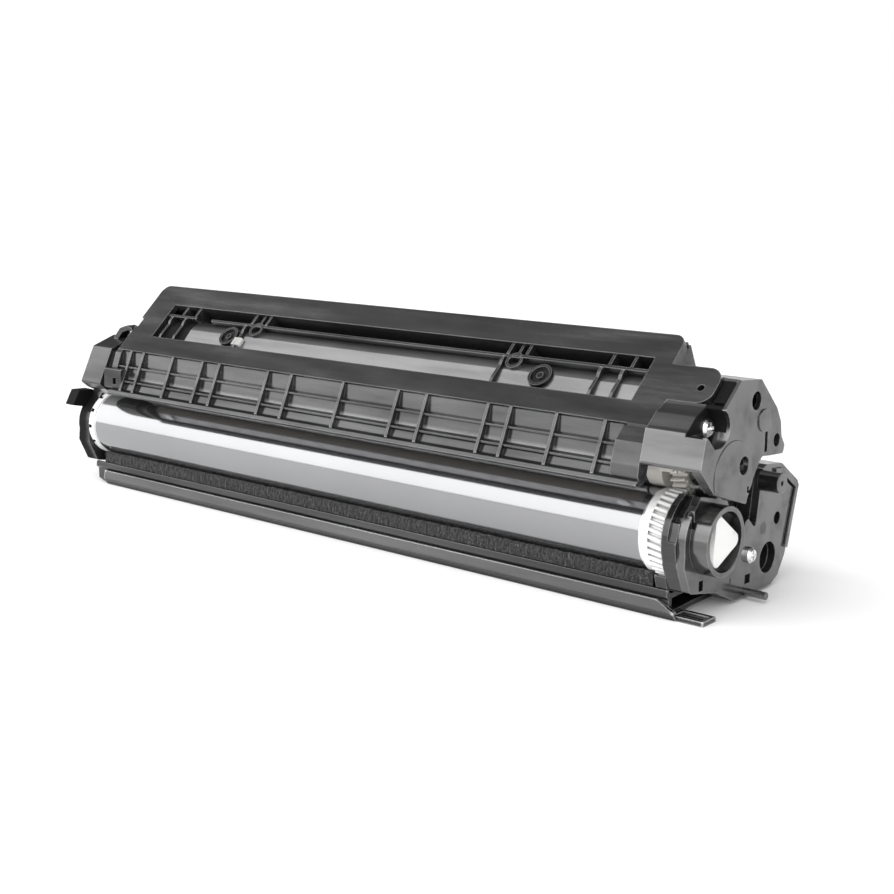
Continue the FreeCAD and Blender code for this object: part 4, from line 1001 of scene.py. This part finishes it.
@dataclass
class FeltSeal(SubAssembly):
    """Felt strip under the drum: a lumpy body of pressed fibre with loose fibres that stand off it.

    The section, in y and z from the drum's axis, and a fibre's length and width are in millimetres. Lumps
    and overrun are in metres, and a fibre's bend and droop are shares of its length.
    """

    title: str = "felt seal"
    section: Outline = (
        (-7.95, -15.3), (-8.1, -13.4), (-8.0, -11.4), (-7.5, -10.3), (-6.3, -11.0), (-4.0, -12.0),
        (0.0, -12.6), (2.2, -13.4), (2.5, -15.3),
    )
    columns: int = 1100
    rows: int = 34
    lumps: float = 0.00028
    overrun: float = 0.003
    fibres: int = 14000
    fibre_length: Band = (0.3, 0.95)
    fibre_width: float = 0.028
    fibre_bend: float = 0.55
    fibre_droop: float = 0.25
    lean_spread: Triple = (1.0, 0.45, 0.45)
    lean_pull: Triple = (0.0, -0.55, 0.25)
    bald_rows: int = 8
    seed: int = 11

    def profile(self) -> np.ndarray:
        """Section of the strip between the front lip and the drum, in the frame's axes.

        Returns:
            Rows of y and z, evenly spaced along the outline.
        """
        corners = np.array(drum_start())[1:] + MM * np.array(self.section)
        reach = np.concatenate([[0.0], np.cumsum(np.linalg.norm(np.diff(corners, axis=0), axis=1))])
        wanted = np.linspace(0.0, reach[-1], self.rows)
        return np.stack([np.interp(wanted, reach, corners[:, axis]) for axis in (0, 1)], axis=-1)

    def body(self, random: np.random.Generator) -> bpy.types.Object:
        """Make the lumpy body: the profile carried along x, each point moved outwards by a softened noise.

        Args:
            random: where the lumps come from.

        Returns:
            The strip.
        """
        low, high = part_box("felt_strip")
        outline = self.profile()
        along = np.linspace(low.x, high.x + self.overrun, self.columns)
        side = np.gradient(outline, axis=0)
        outward = np.stack([-side[:, 1], side[:, 0]], axis=-1)
        outward /= np.linalg.norm(outward, axis=1, keepdims=True)
        rough = random.normal(size=(self.columns, self.rows))
        soft = rough + np.roll(rough, 1, 0) + np.roll(rough, 1, 1) + 0.7 * np.roll(rough, (2, 1), (0, 1))
        height = np.clip(soft * 0.5, -1.0, 1.0) * self.lumps
        height[:, (0, -1)] = 0.0
        flat = np.broadcast_to(outline, (self.columns, self.rows, 2)) + height[..., None] * outward
        points = np.concatenate([np.repeat(along[:, None, None], self.rows, axis=1), flat], axis=-1)
        return surface("felt_body", points)

    def pile(self, random: np.random.Generator) -> bpy.types.Object:
        """Make the loose fibres, each a bent sliver: a quad from root to bend and a triangle to the tip.

        Args:
            random: where the fibres stand and lean.

        Returns:
            The fibres as one object.
        """
        low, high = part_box("felt_strip")
        outline = self.profile()
        row = random.integers(1, self.rows - self.bald_rows, self.fibres)
        root = np.column_stack([random.uniform(low.x, high.x + self.overrun, self.fibres), outline[row]])
        lean = random.normal(size=(self.fibres, 3)) * self.lean_spread + self.lean_pull
        lean /= np.linalg.norm(lean, axis=1, keepdims=True)
        length = random.uniform(*self.fibre_length, (self.fibres, 1)) * MM
        droop = np.array([0.0, 0.0, -self.fibre_droop]) * length
        width = self.fibre_width * MM * np.cross(lean, random.normal(size=(self.fibres, 3)))
        bend = root + lean * length * self.fibre_bend
        tip = root + lean * length + droop
        points = np.stack([root - width, root + width, bend + width, bend - width, tip], axis=1)
        first = points.shape[1] * np.arange(self.fibres)[:, None]
        quads = (first + np.array([0, 1, 2, 3])).tolist()
        tips = (first + np.array([3, 2, 4])).tolist()
        return mesh_object("felt_pile", points.reshape(-1, 3), quads + tips)

    def dress(self) -> None:
        """Put the felt in the place of the plain strip."""
        random = np.random.default_rng(self.seed)
        self.paint(Nap("felt_plain"), "felt_strip")
        self.add(self.body(random), Nap("felt_nap"), Slot.FELT, "drum_unit", "felt_strip")
        fibre = Nap("felt_fibre", (0.05, 0.05, 0.05), (0.3, 0.3, 0.3))
        self.add(self.pile(random), fibre, Slot.FELT, "drum_unit")


@dataclass
class Drum(SubAssembly):
    """The coated tube with its flanges."""

    title: str = "drum"

    def dress(self) -> None:
        """Give the drum's nodes their finishes."""
        low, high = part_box("drum_tube")
        self.paint(CoatedTube("drum_coat", low.x, high.x), "drum_tube")
        self.paint(PaleMoulding("drum_acetal", smudge_and_shade=0.9), "drive_flange", "contact_flange")


@dataclass
class DeveloperUnit(SubAssembly):
    """Upper half: hopper, covers, caps, blade and plugs.

    Stations, walls and outlines are in millimetres, as on_slope takes them. The bed is the hollow of the
    drive-end cover, which gets painted shade: its distances are metres from the cover's high corner, and
    bed_rear is where it ends at the back, in the slope's millimetres. The hopper's crown has painted shade
    up to crown_end and as far back as crown_rear.
    """

    title: str = "developer unit"
    rib_stations: tuple[float, ...] = (35.9, 43.6, 76.8, 194.2, 230.2, 237.8)
    rib_wall: float = 1.0
    rib_side: Outline = (
        (7.9, -2.6), (7.9, -1.2), (10.0, -0.75), (15.0, -0.9), (16.4, -0.4), (18.4, -0.3), (18.5, -3.6),
        (14.4, -2.1),
    )
    grip_start: float = 75.4
    grip_step: float = 0.75
    grip_ridges: int = 5
    ridge_share: float = 0.55
    grip_base: Outline = ((9.6, -2.6), (9.6, -1.0), (12.6, -1.0), (12.6, -2.4))
    grip_ridge: Outline = ((9.5, -2.6), (9.5, -0.65), (12.7, -0.65), (12.7, -2.4))
    crown_end: float = 48.5
    crown_rear: tuple[float, float] = (21.0, -3.0)
    bed_reach: float = 0.0068
    bed_drop: float = 0.0135
    bed_margin: float = 0.0016
    bed_rim: float = 0.0008
    bed_rear: tuple[float, float] = (23.0, -1.0)

    def crown_ribs(self) -> bpy.types.Object:
        """Make the thin walls that cross the window over the hopper's crown.

        Returns:
            The ribs.
        """
        half = self.rib_wall / 2.0
        return walls("crown_ribs", [(self.rib_side, x - half, x + half) for x in self.rib_stations])

    def plug_grip(self) -> bpy.types.Object:
        """Make the pale ridged block beside the left plug.

        Returns:
            The block.
        """
        parts = [(self.grip_base, self.grip_start, self.grip_start + self.grip_ridges * self.grip_step)]
        for index in range(self.grip_ridges):
            start = self.grip_start + index * self.grip_step
            parts.append((self.grip_ridge, start, start + self.grip_step * self.ridge_share))
        return walls("plug_grip", parts)

    def bed(self) -> tuple[Vector, Vector]:
        """Box of the painted shade in the drive-end cover's hollow.

        Returns:
            Its low and its high corner.
        """
        low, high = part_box("drive_end_cover")
        rear = on_slope(0.0, *self.bed_rear)[1]
        return (
            Vector((high.x - self.bed_reach, low.y, high.z - self.bed_drop)),
            Vector((high.x - self.bed_margin, rear, high.z - self.bed_rim)),
        )

    def recess(self) -> tuple[Vector, Vector]:
        """Box of the painted shade at the end of the hopper's crown.

        Returns:
            Its low and its high corner.
        """
        low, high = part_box("toner_hopper")
        end, rear, _ = on_slope(self.crown_end, *self.crown_rear)
        return low, Vector((end, rear, high.z))

    def dress(self) -> None:
        """Add the small walls and give every CAD node of the upper half its finish."""
        hopper = MouldedPlastic("hopper_plastic", gloss=0.72, streak=0.72)
        self.paint(hopper, "hopper_frame", "end_plate", "carry_strap")
        self.add(self.crown_ribs(), MouldedPlastic("rib_plastic", painted_shade_strength=0.95), Slot.SHELL, "developer_unit")
        grip = PaleMoulding("grip_nylon", (0.55, 0.55, 0.53), smudge_and_shade=0.7)
        self.add(self.plug_grip(), grip, Slot.NYLON, "developer_unit")
        # Painted shade in the cover's hollow.
        cover = MouldedPlastic("cover_plastic", roughness=0.2, gloss=1.0, ior=1.65, painted_shade_box=self.bed())
        self.paint(cover, "drive_end_cover")
        self.paint(MouldedPlastic("cap_plastic", roughness=0.2), "contact_end_cap")
        # Painted shade on the end of the hopper's crown.
        crown = self.recess()
        wall = MouldedPlastic("hopper_wall", roughness=0.3, gloss=1.0, ior=1.95, edge_highlight=0.2, painted_shade_box=crown)
        self.paint(wall, "toner_hopper")
        black = (0.006, 0.006, 0.006)
        plug = MouldedPlastic("plug_plastic", colour=black, roughness=0.14, gloss=0.4, dust=0.05)
        self.paint(plug, "fill_plugs")
        self.paint(SCREW_ZINC, "cover_screw", "doctor_screws")
        self.paint(PRESSED_STEEL, "doctor_bracket")
        self.paint(URETHANE, "doctor_blade")
        self.paint(MatBlack("bound_magnet", (0.04, 0.04, 0.04)), "magnet_core")
        self.paint(PIN_STEEL, "idler_stud")


@dataclass
class GearTrain(SubAssembly):
    """Roller, idler and agitator: everything else that turns."""

    title: str = "gear train"

    def dress(self) -> None:
        """Give the turning nodes their finishes."""
        self.paint(BrightMetal("blasted_sleeve", colour=(0.6, 0.6, 0.61), roughness=0.36), "roller_sleeve")
        nylon = PaleMoulding("nylon", (0.62, 0.6, 0.56), roughness=0.35, smudge_and_shade=0.8)
        self.paint(nylon, "spacer_rings", "developer_gear", "idler_gear", "agitator_gear")
        self.paint(MouldedPlastic("agitator_plastic"), "agitator_shaft")
        self.paint(ClearFilm("agitator_sheet"), "agitator_film")


def main() -> None:
    """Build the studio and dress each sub-assembly in turn."""
    logging.basicConfig(level=logging.INFO, format="%(name)s: %(message)s", stream=sys.stdout, force=True)
    studio = Studio()
    studio.camera()
    studio.floor()
    studio.room()
    for group in (DrumUnit(), FeltSeal(), Drum(), DeveloperUnit(), GearTrain()):
        group.dress()


if __name__ == "__main__":
    main()
